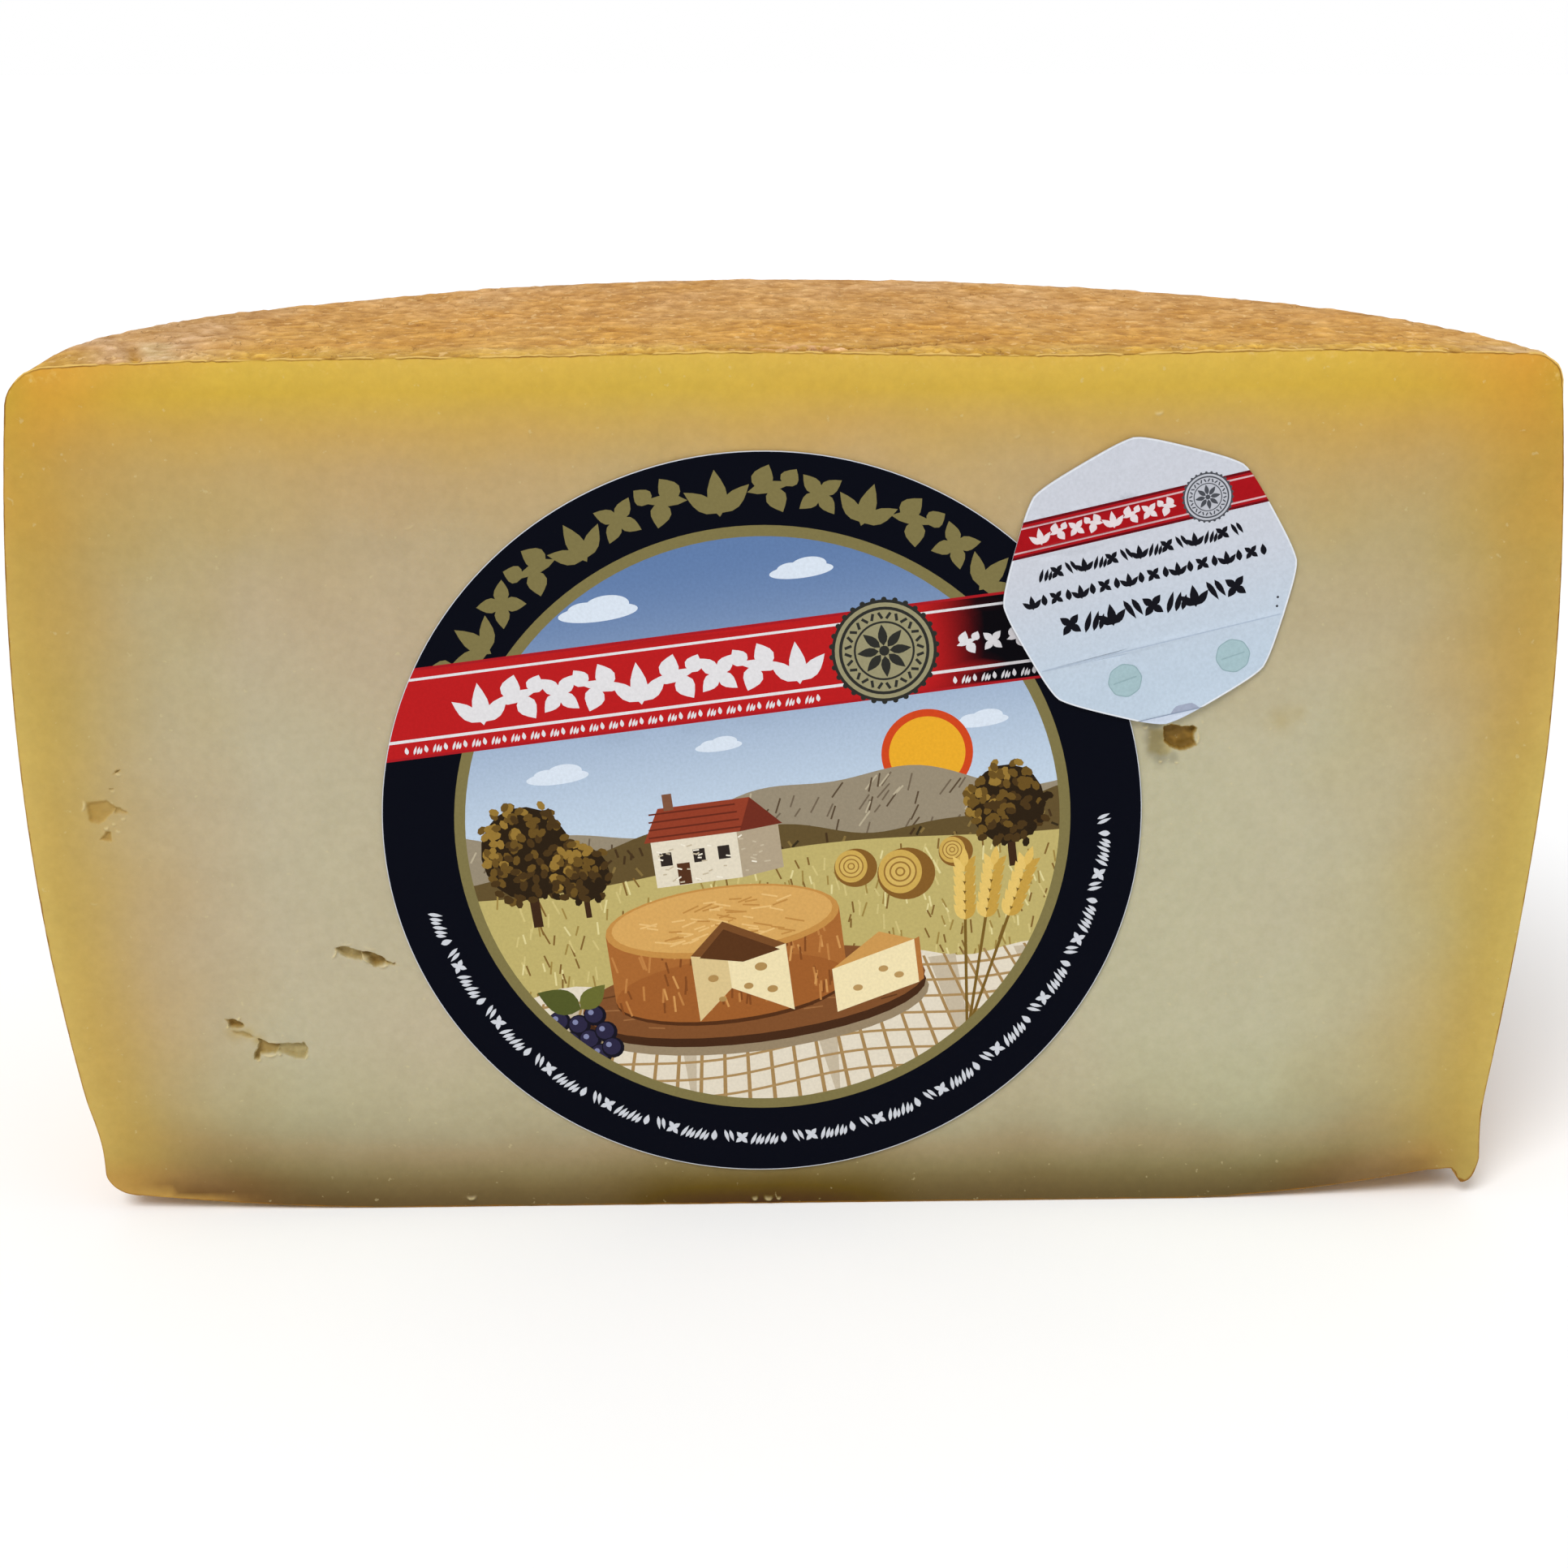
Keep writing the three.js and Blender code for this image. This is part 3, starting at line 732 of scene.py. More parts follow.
def cheese_mesh():
    """The shell, its uneven points, and the values and the colours of its two kinds of face by vertex."""
    shell, cut_seam = build_shell()
    even = shell.points
    points = uneven(even)
    seam, on_cut, on_rind = np.zeros((3, len(points)), bool)
    seam[cut_seam] = True
    on_cut[np.unique(triangles_of(shell.faces["paste"]))] = True
    on_rind[np.unique(triangles_of(shell.faces["rind"]))] = True
    inner = on_cut & ~seam
    crest, burr, edge, brown, shade, scrap = np.zeros((6, len(points)))
    tones = {kind: np.zeros((len(points), 3)) for kind in shell.faces}

    normals = vertex_normals(points, shell.faces["rind"])
    normals[seam, 1] = 0.0
    rind = points[on_rind]
    tones["rind"][on_rind] = rind_tones(rind)
    relief, crest[on_rind] = rind_relief(rind, normals[on_rind])
    burr[on_rind] = burr_height(rind)
    moved = rind + normals[on_rind] * (relief + BURR_HEIGHT * burr[on_rind])[:, None]
    moved[:, 2] = np.maximum(moved[:, 2], 0.0)

    face = points[inner]
    flat = face[:, [0, 2]]
    edge[inner] = np.maximum(depth_inside(flat, points[cut_seam][:, [0, 2]]), 0)
    deep, brown[inner], shade[inner] = eye_depths(flat, face)
    height, scrap[inner] = scrap_heights(flat)
    wander = 0.06 * (1 + bumps(face * (1, 1, 0.4), 16.0, 2, 29.0)) * smoothstep(edge[inner], 0.3, 4.0)
    marks = brown[on_cut], shade[on_cut], scrap[on_cut]
    tones["paste"][on_cut] = paste_tones(even[on_cut], *depths_in(even[on_cut]), *marks)

    points[on_rind] = moved
    points[inner, 1] += deep + wander - height
    return shell, points, {"crest": crest, "burr": burr, "edge": edge}, tones


def into_frame(points):
    return points * MM + (AXIS_X, CUT_Y, 0.0)


def into_scene(name, data):
    made = bpy.data.objects.new(name, data)
    bpy.context.scene.collection.objects.link(made)
    return made


def make_object(name, points, faces, materials, kinds, sharp_angle, colours):
    """A mesh object, with a base colour for each corner of each face."""
    mesh = bpy.data.meshes.new(name)
    mesh.from_pydata(into_frame(points).tolist(), [], faces)
    for material in materials:
        mesh.materials.append(material)
    mesh.polygons.foreach_set("material_index", kinds)
    mesh.shade_smooth()
    mesh.set_sharp_from_angle(angle=radians(sharp_angle))
    layer = mesh.color_attributes.new("tone", "FLOAT_COLOR", "CORNER")
    layer.data.foreach_set("color", np.c_[colours, np.ones(len(colours))].ravel())
    return into_scene(name, mesh)


def make_cheese(paste, rind):
    shell, points, values, tones = cheese_mesh()
    faces, kinds, colours = [], [], []
    for number, kind in enumerate(("paste", "rind")):
        for block in shell.faces[kind]:
            faces += block.tolist()
            kinds.append(np.full(len(block), number))
            colours.append(tones[kind][block.ravel()])
    kinds = np.concatenate(kinds)
    piece = make_object("half_wheel", points, faces, (paste, rind), kinds, CHEESE_SHARP, np.vstack(colours))
    for name, data in values.items():
        piece.data.attributes.new(name, "FLOAT", "POINT").data.foreach_set("value", data)
    return piece


# Materials


class Nodes:
    """The shader nodes of a material or world. A value is a number, a colour or another node's output."""

    def __init__(self, owner):
        owner.use_nodes = True
        self.tree = owner.node_tree

    def feed(self, node, inputs):
        for name, value in inputs.items():
            if isinstance(value, bpy.types.NodeSocket):
                self.tree.links.new(value, node.inputs[name])
            else:
                node.inputs[name].default_value = (*value, 1.0) if isinstance(value, np.ndarray) else value

    def add(self, kind, inputs, output=0, **settings):
        node = self.tree.nodes.new("ShaderNode" + kind)
        for name, value in settings.items():
            setattr(node, name, value)
        self.feed(node, inputs)
        return node.outputs[output]

    def attribute(self, name, output="Fac"):
        return self.add("Attribute", {}, output, attribute_name=name)

    def height(self, coordinates):
        place = self.add("TexCoord", {}, coordinates)
        return self.add("SeparateXYZ", {"Vector": place}, "Z")

    def ramp(self, value, *stops):
        """Colours over a value of 0 to 1. Each stop is a place and a linear colour."""
        colour = self.add("ValToRGB", {"Fac": value})
        elements = colour.node.color_ramp.elements
        while len(elements) < len(stops):
            elements.new(0.5)
        for element, (place, tone) in zip(elements, stops):
            element.position = place
            element.color = (*tone, 1.0)
        return colour

    def maths(self, operation, *values, clamp=False):
        return self.add("Math", dict(enumerate(values)), operation=operation, use_clamp=clamp)

    def times(self, first, second):
        return self.maths("MULTIPLY", first, second)

    def scaled(self, value, factor, offset, clamp=False):
        return self.maths("MULTIPLY_ADD", value, factor, offset, clamp=clamp)

    def span(self, value, start, end):
        """0 up to 1 as the value goes from start to end, either way."""
        return self.scaled(value, 1 / (end - start), -start / (end - start), True)

    def blend(self, kind, share, first, second):
        return self.add("Mix", {0: share, 6: first, 7: second}, 2, data_type="RGBA", blend_type=kind)

    def paint(self, colour, mask, tone, light):
        return self.blend("MIX", mask, colour, linear(tone, light))

    def noise(self, size, detail, roughness=0.55, stretch=(1, 1, 1)):
        """Noise whose features are about that size in millimetres, from 0 to 1."""
        place = self.add("Mapping", {"Vector": self.add("TexCoord", {}, "Object"), "Scale": stretch})
        settings = {"Vector": place, "Scale": 1 / (size * MM), "Detail": detail, "Roughness": roughness}
        return self.add("TexNoise", settings, "Fac")

    def bump(self, height, distance, strength):
        return self.add("Bump", {"Height": height, "Distance": distance * MM, "Strength": strength})

    def surface(self, colour, roughness, specular, **more):
        inputs = {"Base Color": colour, "Roughness": roughness, "Specular IOR Level": specular, **more}
        self.feed(self.tree.nodes["Principled BSDF"], inputs)


def paste_material():
    material = bpy.data.materials.new("cheese_paste")
    nodes = Nodes(material)
    noise, times, span, scaled = nodes.noise, nodes.times, nodes.span, nodes.scaled
    grain = nodes.ramp(noise(0.9, 4, 0.65), (0.3, (0.93, 0.93, 0.92)), (0.7, (1.04, 1.04, 1.05)))
    colour = nodes.blend("MULTIPLY", 0.8, nodes.attribute("tone", "Color"), grain)
    specks = span(noise(0.7, 2), 0.71, 0.76)
    colour = nodes.paint(colour, times(specks, 0.3), SPECK_TONE, FACE_LIGHT)

    edge = nodes.attribute("edge")
    flaky = span(noise(0.7, 3, 0.6), 0.56, 0.68)
    near_top = times(span(edge, 1.6, 0.5), span(nodes.height("Object"), 77 * MM, 80 * MM))
    colour = nodes.paint(colour, times(times(flaky, near_top), 0.4), EDGE_FLAKE_TONE, FACE_LIGHT)
    from_rind = nodes.maths("ADD", edge, scaled(noise(1.2, 3), 0.2, -0.1))
    strength = scaled(noise(3.4, 2), 2.4, -0.4, True)
    has_burr = span(nodes.attribute("burr"), 0.1, 0.3)
    reach = scaled(has_burr, -0.1, nodes.maths("ADD", from_rind, 0.1))
    colour = nodes.paint(colour, times(span(reach, 0.27, 0.16), strength), EDGE_LINE_TONE, FACE_LIGHT)
    colour = nodes.paint(colour, times(span(from_rind, 0.14, 0.08), has_burr), BURR_TONE, FACE_LIGHT)

    drag = times(noise(1.1, 2, stretch=(0.12, 1, 1)), 0.5)
    grooves = nodes.bump(nodes.maths("ADD", noise(1.4, 5, 0.6), drag), 0.08, 0.7)
    nodes.surface(colour, scaled(noise(3.0, 3), 0.2, 0.42), 0.18, Normal=grooves, **GLOW)
    return material


def rind_material():
    material = bpy.data.materials.new("smoked_rind")
    nodes = Nodes(material)
    noise, times, span = nodes.noise, nodes.times, nodes.span
    # Darker in the cracks and paler on the crests: partly the rind's own colour, partly painted shade and
    # painted highlight
    colour = nodes.blend("MULTIPLY", 1.0, nodes.attribute("tone", "Color"),
                         nodes.ramp(nodes.attribute("crest"), *CREST_TINTS))
    mottle = nodes.ramp(noise(1.1, 6, 0.7, (0.85, 0.45, 1)), *MOTTLE_TINTS)
    colour = nodes.blend("MULTIPLY", 0.8, colour, mottle)
    ridged = nodes.maths("SUBTRACT", noise(1.8, 3, 0.6, (0.9, 0.4, 1)), 0.5)
    crack = times(span(nodes.maths("ABSOLUTE", ridged), 0.02, 0.002), span(noise(3.0, 2), 0.48, 0.62))
    # Fine cracks painted darker, partly painted shade; the bump below sinks them too
    colour = nodes.paint(colour, times(crack, 0.35), FINE_CRACK_TONE, TOP_LIGHT)
    fleck = span(noise(0.7, 2, 0.5, (0.8, 0.4, 1)), 0.62, 0.68)
    colour = nodes.paint(colour, times(fleck, 0.45), FLECK_TONE, TOP_LIGHT)
    burr = span(times(nodes.attribute("burr"), noise(0.7, 2)), 0.08, 0.24)
    colour = nodes.paint(colour, times(burr, 0.85), BURR_TONE, TOP_LIGHT)

    height = nodes.maths("ADD", noise(1.1, 6, 0.7, (1, 0.4, 1)), times(crack, -0.35))
    height = nodes.maths("ADD", height, times(fleck, 0.2))
    rough = nodes.scaled(noise(5.0, 3), 0.25, 0.6)
    nodes.surface(colour, rough, 0.12, Normal=nodes.bump(height, 0.3, 0.8))
    return material


def paper_material(name, roughness):
    material = bpy.data.materials.new(name)
    nodes = Nodes(material)
    grain = nodes.ramp(nodes.noise(0.28, 2), (0.3, (0.93,) * 3), (0.7, (1.05,) * 3))
    colour = nodes.blend("MULTIPLY", 0.8, nodes.attribute("tone", "Color"), grain)
    fibres = nodes.bump(nodes.noise(0.6, 4, 0.6), 0.02, 0.5)
    rough = nodes.scaled(nodes.noise(4.0, 3), 0.15, roughness)
    nodes.surface(colour, rough, 0.03, Normal=fibres)
    return material


# Print, in millimetres on the paper

NO_CLIP = 1000.0


def turned(points, degrees, u=0.0, v=0.0):
    c, s = cos(radians(degrees)), sin(radians(degrees))
    points = np.asarray(points, float)
    return np.c_[points @ (c, -s) + u, points @ (s, c) + v]


def oval(u, v, wide, tall, turn=0.0, sides=36):
    angle = np.arange(sides) * 2 * pi / sides
    return turned(np.c_[wide * np.cos(angle), tall * np.sin(angle)], turn, u, v)


def disc(u, v, radius, sides=36):
    return oval(u, v, radius, radius, 0.0, sides)


def bar(u, v, wide, tall, turn=0.0):
    w, h = wide / 2, tall / 2
    return turned(((-w, -h), (w, -h), (w, h), (-w, h)), turn, u, v)


def leaf(u, v, long, wide, turn, steps=6):
    """A pointed leaf that grows from (u, v) in the direction of turn."""
    share = np.linspace(0, 1, steps)
    edge = wide / 2 * np.sin(pi * share**0.8)
    upper = np.c_[long * share, edge]
    lower = np.c_[long * share, -edge][-2:0:-1]
    return turned(np.vstack([upper, lower]), turn, u, v)


def skyline(us, level, waves):
    return level + sum(height * np.sin(us / length + phase) for height, length, phase in waves)


def hill(reach, level, waves, floor=-40.0):
    """Land below a rolling skyline."""
    us = np.linspace(-reach, reach, 61)
    return np.vstack([np.c_[us, skyline(us, level, waves)], ((reach, floor), (-reach, floor))])


def fade(first, second, start, end, axis):
    """A colour that changes from first to second between two places along an axis of the paper."""

    def colour(places):
        share = smoothstep(places[..., axis], start, end)[..., None]
        return mix(linear(first, FACE_LIGHT), linear(second, FACE_LIGHT), share)

    return colour


# Small ornaments as leaves: place along and up the row, length, width and direction, for a row 1 high
FAN = ((0.0, 0.0, 1.0, 0.40, 90), (0.06, 0.08, 0.80, 0.35, 44), (-0.06, 0.08, 0.80, 0.35, 136))
CROSS = tuple((0.0, 0.5, 0.56, 0.34, turn) for turn in (45, 135, 225, 315))
BUD = ((0.0, 0.1, 0.8, 0.42, 90),)
SPRIG = ((-0.34, 0.0, 1.0, 0.26, 66), (0.02, 0.0, 0.9, 0.26, 66), (0.30, 0.0, 0.72, 0.24, 66))
DROOP = ((-0.30, 1.0, 1.0, 0.26, -66), (0.06, 1.0, 0.9, 0.26, -66))
VINE = ((-0.5, 0.45, 1.0, 0.26, 14), (-0.28, 0.5, 0.62, 0.46, 68), (0.0, 0.55, 0.62, 0.46, -62),
        (0.28, 0.6, 0.46, 0.40, 60))
VINE_BACK = tuple((-s, t, long, wide, 180 - turn) for s, t, long, wide, turn in VINE)


def straight_line(low):
    return lambda points: points + (0.0, low)


def ring_line(radius, outward, clockwise, start):
    """A row round the label's middle, from the direction start in degrees."""

    def place(points):
        way = -1 if clockwise else 1
        angle = radians(start) + way * points[:, 0] / radius
        r = radius + points[:, 1] * (1 if outward else -1)
        return np.c_[r * np.cos(angle), r * np.sin(angle)]

    return place


NAVY = (6, 8, 19)
GOLD = (126, 116, 72)
PAPER_WHITE = (206, 209, 216)
LABEL_RED = (185, 29, 31)
STICKER_RED = (165, 18, 26)
PICTURE = 27.4  # radius of the picture
GOLD_RING = 28.4
INK_EDGE = 34.93
BAND_LOW, BAND_HIGH = 10.9, 19.35
MEDALLION_U = 13.0
PRINT_SEED = 11
GARLAND_RADIUS = 32.3
# Skylines in the picture: their level, and the height, length and phase of each wave
CRAGS = 2.6, ((1.7, 7.0, 0.4), (0.6, 2.6, 2.0))
WOODS = -0.4, ((1.3, 6.5, 2.6), (0.3, 2.0, 0.0))
FOLIAGE = ((44, 32, 18), (74, 54, 26), (106, 80, 34), (150, 118, 52))
GRAPES = ((-21.6, -16.6), (-19.8, -17.2), (-18.2, -16.4), (-22.6, -18.2), (-20.8, -18.8), (-19.0, -18.8),
          (-17.4, -18.2), (-21.8, -20.2), (-20.0, -20.6), (-18.2, -20.4), (-19.2, -22.0), (-17.0, -19.9))


class Print:
    """Shapes that lie over each other: an outline, its colour, and the radius where it is cut off."""

    def __init__(self):
        self.art = []
        self.clip = NO_CLIP
        self.draw = np.random.default_rng(PRINT_SEED)

    def put(self, outline, colour):
        self.art.append((np.asarray(outline, float), colour, self.clip))

    def discs(self, u, v, radii_and_colours, sides=48):
        for radius, colour in radii_and_colours:
            self.put(disc(u, v, radius, sides), colour)

    def stripes(self, vs, wide, tall, colour):
        for v in vs:
            self.put(bar(0, v, wide, tall), colour)

    def frieze(self, line, start, end, tall, motifs, colour, pitch=1.0):
        """Ornaments in a row from start to end. line() places points that are told along and up the row."""
        count = max(1, round((end - start) / (tall * pitch)))
        for step in range(count):
            middle = start + (step + 0.5) * (end - start) / count
            for along, up, long, wide, turn in motifs[step % len(motifs)]:
                one = leaf(middle + along * tall, up * tall, long * tall, wide * tall, turn)
                self.put(line(one), colour)

    def strokes(self, count, low, high, wide, tall, lean, colours, land=None):
        """Short strokes strewn over a rectangle, each in one of the colours, below the land's skyline."""
        for _ in range(count):
            u, v = self.draw.uniform(low, high)
            size = self.draw.uniform(0.6, 1.2)
            turn = self.draw.uniform(*lean)
            colour = colours[self.draw.integers(len(colours))]
            if land is None or v + tall / 2 < skyline(u, *land):
                self.put(bar(u, v, wide, tall * size, turn), colour)

    def tree(self, u, v, size):
        """A trunk under small leaves heaped over an oval, the lighter ones towards its upper left."""
        self.put(bar(u, v - 2.0 * size, 0.6 * size, 3.0 * size), (62, 40, 24))
        v, wide, tall = v + 1.4 * size, 3.1 * size, 3.4 * size
        self.put(oval(u, v, wide * 0.9, tall * 0.9, 0, 18), FOLIAGE[0])
        for _ in range(int(90 * size)):
            angle, reach = self.draw.uniform(0, 2 * pi), sqrt(self.draw.uniform(0, 1))
            du, dv = cos(angle) * reach, sin(angle) * reach
            shade = clamp01(0.5 - 0.3 * du + 0.35 * dv + self.draw.uniform(-0.3, 0.3)) * (len(FOLIAGE) - 1)
            spot = oval(u + du * wide, v + dv * tall, 0.5, 0.35, self.draw.uniform(0, 180), 7)
            self.put(spot, FOLIAGE[round(float(shade))])


def countryside(page):
    """The picture in the middle of the label: hills, a farmhouse and hay, and a cheese on a cloth."""
    put = page.put
    put(disc(0, 0, PICTURE, 120), fade((196, 212, 228), (96, 124, 168), -3, 27, 1))
    for u, v, size in ((-12, 22.2, 1.0), (6.5, 23.6, 0.8), (-18, 7.4, 0.8), (-3, 8.4, 0.6), (21, 7.6, 0.7)):
        for du, dv, wide, tall in ((0, 0, 3.6, 0.8), (0.9, 0.6, 2.0, 0.9), (-1.2, 0.4, 1.5, 0.7)):
            put(oval(u + du * size, v + dv * size, wide * size, tall * size), (216, 226, 238))
    page.discs(15.8, 5.2, ((4.2, (206, 70, 30)), (3.5, (232, 170, 44))), 60)
    put(hill(30, *CRAGS), (150, 138, 116))
    page.strokes(140, (-27, -1.5), (27, 4.4), 0.16, 1.5, (-50, -10),
                 ((112, 98, 80), (184, 172, 146), (88, 72, 54)), CRAGS)
    put(hill(30, *WOODS), (98, 80, 46))
    page.strokes(130, (-27, -3.4), (27, 1.0), 0.22, 0.9, (-60, 60),
                 ((70, 52, 30), (132, 110, 62), (54, 44, 26)), WOODS)
    put(hill(30, -3.0, ((0.8, 8.0, 1.0),)), (190, 174, 108))
    page.strokes(420, (-27, -17), (27, -3.6), 0.17, 1.3, (-24, 24),
                 ((222, 210, 150), (158, 134, 70), (128, 98, 48), (206, 190, 124)))
    farmhouse(page)
    for place_and_size in ((-22.0, -1.6, 1.5), (-17.2, -3.4, 0.9), (22.6, -2.4, 1.25)):
        page.tree(*place_and_size)
    for u, v, size in ((8.0, -5.0, 1.0), (12.6, -6.2, 1.35), (17.4, -4.6, 0.8)):
        hay_bale(page, u, v, size)
    checked_cloth(page)
    cheese_on_board(page)
    for u, lean in ((19.0, -14), (20.8, -24), (17.4, -5)):
        wheat_ear(page, u, -13.5, lean)


def farmhouse(page):
    put = page.put
    put(bar(-6.5, -2.2, 8.0, 4.6), (226, 216, 194))
    put(((-2.5, -4.5), (1.4, -4.0), (1.4, 0.4), (-2.5, 0.1)), (176, 160, 134))
    put(((-11.1, 0.0), (-9.4, 3.2), (-0.9, 3.2), (-2.2, 0.0)), (146, 62, 40))
    put(((-2.2, 0.0), (-0.9, 3.2), (1.8, 0.3)), (112, 46, 32))
    for row in range(4):
        put(bar(-6.3, 0.45 + row * 0.75, 8.6 - row * 0.2, 0.16), (104, 42, 28))
    for u in (-9.3, -6.2, -3.9):
        put(bar(u, -1.8, 1.1, 1.3), (48, 40, 36))
    put(bar(-7.8, -3.4, 1.2, 2.1), (84, 50, 30))
    put(bar(-8.4, 3.7, 0.9, 1.6), (126, 84, 62))
    page.strokes(40, (-10, -4.3), (1, -0.4), 0.14, 0.5, (60, 120), ((196, 182, 156), (240, 232, 214)))


def hay_bale(page, u, v, size):
    page.put(oval(u, v, 2.0 * size, 1.9 * size), (132, 92, 40))
    u, v = u - 0.4 * size, v + 0.2 * size
    page.put(oval(u, v, 1.5 * size, 1.6 * size), (204, 168, 84))
    for ring in (1.15, 0.75, 0.35):
        page.discs(u, v, ((ring * size, (150, 112, 52)), ((ring - 0.12) * size, (212, 178, 96))), 36)


def checked_cloth(page):
    """A cream cloth with thin brown checks, laid over the foot of the picture."""
    us = np.linspace(-30, 30, 41)
    hem = -14.2 + 0.7 * np.sin(us / 4.2) + 0.3 * np.sin(us / 1.7 + 1.0)
    for drop, colour in ((0.5, (120, 98, 66)), (0, (226, 216, 196))):
        page.put(np.vstack([np.c_[us, hem - drop], ((30, -30), (-30, -30))]), colour)
    for u, wide in ((-20, 1.6), (-9.5, 1.2), (3, 1.8), (15, 1.3), (23, 1.2)):
        page.put(((u - wide, -14.8), (u + wide, -14.8), (u * 1.12 + 0.4, -29)), (196, 182, 158))
    for step in range(-14, 15):
        u = step * 1.9
        thread = ((u - 0.13, -14.6), (u + 0.13, -14.6), (u * 1.3 + 0.2, -29), (u * 1.3 - 0.2, -29))
        page.put(thread, (164, 132, 84))
    for step in range(8):
        line = -15.4 - step * 1.55 - 0.03 * step**2 + 0.5 * np.sin(us / 4.2 + 0.2)
        page.put(np.vstack([np.c_[us, line + 0.13], np.c_[us, line - 0.13][::-1]]), (170, 138, 90))


def cheese_on_board(page):
    """A whole cheese with a wedge cut out of it, on a round board beside the wedge and a bunch of grapes."""
    put = page.put
    for v, wide, tall, colour in ((-17.6, 16.5, 4.6, (150, 132, 104)), (-16.9, 16.3, 4.4, (70, 42, 24)),
                                  (-16.1, 16.3, 4.3, (128, 80, 44))):
        put(oval(-3.0, v, wide, tall), colour)
    page.strokes(70, (-17, -18.6), (11, -13.6), 0.14, 2.4, (78, 102), ((96, 58, 30), (154, 104, 62)))
    put(oval(-5.0, -15.6, 11.0, 3.4), (84, 48, 24))
    put(((-16.0, -15.4), (6.0, -15.4), (6.0, -8.6), (-16.0, -8.6)), (168, 104, 50))
    put(oval(-5.0, -15.4, 11.0, 3.2), (158, 94, 44))
    page.strokes(120, (-15.6, -17.0), (5.6, -9.6), 0.2, 1.5, (-14, 14),
                 ((130, 74, 34), (190, 128, 68), (206, 148, 84)))
    put(oval(-5.0, -8.6, 11.0, 3.5), (196, 142, 72))
    put(oval(-5.0, -8.4, 10.4, 3.1), (214, 166, 94))
    page.strokes(60, (-12, -10.6), (2, -6.4), 0.16, 1.6, (70, 110), ((190, 138, 70), (230, 188, 120)))
    put(((-5.0, -8.6), (0.6, -11.6), (0.6, -18.4), (-5.0, -15.4)), (238, 222, 176))
    put(((-5.0, -8.6), (-5.0, -15.4), (-8.4, -18.4), (-8.4, -11.7)), (218, 194, 140))
    put(((0.6, -11.6), (-5.0, -8.6), (-8.4, -11.7), (-3.6, -12.6)), (120, 76, 40))
    put(((-5.0, -9.4), (0.0, -12.1), (-3.6, -12.9), (-7.6, -12.0)), (90, 54, 28))
    for u, v, size in ((-2.0, -13.6, 0.42), (-3.4, -15.4, 0.32), (-1.2, -16.0, 0.36), (-6.6, -14.2, 0.36),
                       (-6.0, -16.4, 0.26)):
        put(oval(u, v, size * 1.4, size), (176, 140, 84))
    put(((4.6, -19.2), (12.6, -17.2), (12.6, -12.8), (4.6, -14.8)), (240, 224, 178))
    put(((4.6, -14.8), (12.6, -12.8), (9.4, -11.6)), (204, 152, 82))
    put(((12.6, -17.2), (13.1, -16.9), (13.1, -12.6), (12.6, -12.8)), (178, 116, 58))
    for u, v in ((6.8, -17.0), (9.4, -15.4), (10.8, -16.2)):
        put(oval(u, v, 0.46, 0.32), (184, 148, 92))
    for u, v in GRAPES:
        put(disc(u, v, 1.08, 16), (22, 20, 32))
        put(disc(u - 0.1, v + 0.1, 0.86, 14), (44, 40, 66))
        put(disc(u - 0.35, v + 0.35, 0.28, 8), (128, 132, 168))
    put(leaf(-19.4, -15.6, 4.4, 2.6, 150, 8), (82, 88, 40))
    put(leaf(-19.4, -15.6, 3.4, 2.0, 40, 8), (104, 106, 48))


def wheat_ear(page, u, v, lean):
    page.put(turned(((-0.14, -9), (0.14, -9), (0.14, 6.5), (-0.14, 6.5)), lean, u, v), (120, 92, 38))
    grains = [(2.0 + step * 0.95, side * 34, 1.9, colour) for step in range(6)
              for side, colour in ((-1, (196, 156, 68)), (1, (228, 194, 108)))]
    for up, turn, long, colour in grains + [(7.2, 0, 2.0, (222, 186, 98))]:
        foot = turned(((0, up),), lean, u, v)[0]
        page.put(leaf(*foot, long, 0.8, 90 + lean + turn), colour)


def rosette(page, u, v, radius, dark, pale):
    """A plain round medallion with a toothed rim, a ring of dashes and eight petals."""

    def around(count, share):
        for step in range(count):
            turn = step * 360 / count
            yield step, turn, turned(((radius * share, 0),), turn, u, v)[0]

    page.discs(u, v, ((radius, dark),))
    for _, _, middle in around(30, 1.0):
        page.put(disc(*middle, radius * 0.055, 8), dark)
    page.discs(u, v, [(radius * share, colour) for share, colour in (
        (0.94, pale), (0.86, dark), (0.80, pale), (0.58, dark), (0.54, pale))])
    for step, turn, middle in around(28, 0.69):
        page.put(bar(*middle, radius * 0.14, radius * 0.055, turn + (28 if step % 2 else -28)), dark)
    for _, turn, middle in around(8, 0.1):
        page.put(leaf(*middle, radius * 0.42, radius * 0.18, turn), dark)
    page.put(disc(u, v, radius * 0.1, 12), dark)


def ring_ornaments(page):
    """Gold leaf work over the top of the ring, and a fine white garland round its lower half."""
    tall, foot = 3.9, GOLD_RING + 1.2
    for clockwise in (False, True):
        line = ring_line(foot, True, clockwise, 90)
        page.frieze(line, tall * 0.62, radians(60) * foot, tall, (VINE, CROSS, FAN), GOLD, 1.06)
    page.frieze(ring_line(GOLD_RING + 1.0, True, True, 90), -tall / 2, tall / 2, tall * 1.08, (FAN,), GOLD)
    garland = ring_line(GARLAND_RADIUS, False, False, 187)
    page.frieze(garland, 0, radians(168) * GARLAND_RADIUS, 1.4, (SPRIG, SPRIG, BUD, DROOP, CROSS),
                PAPER_WHITE, 0.98)


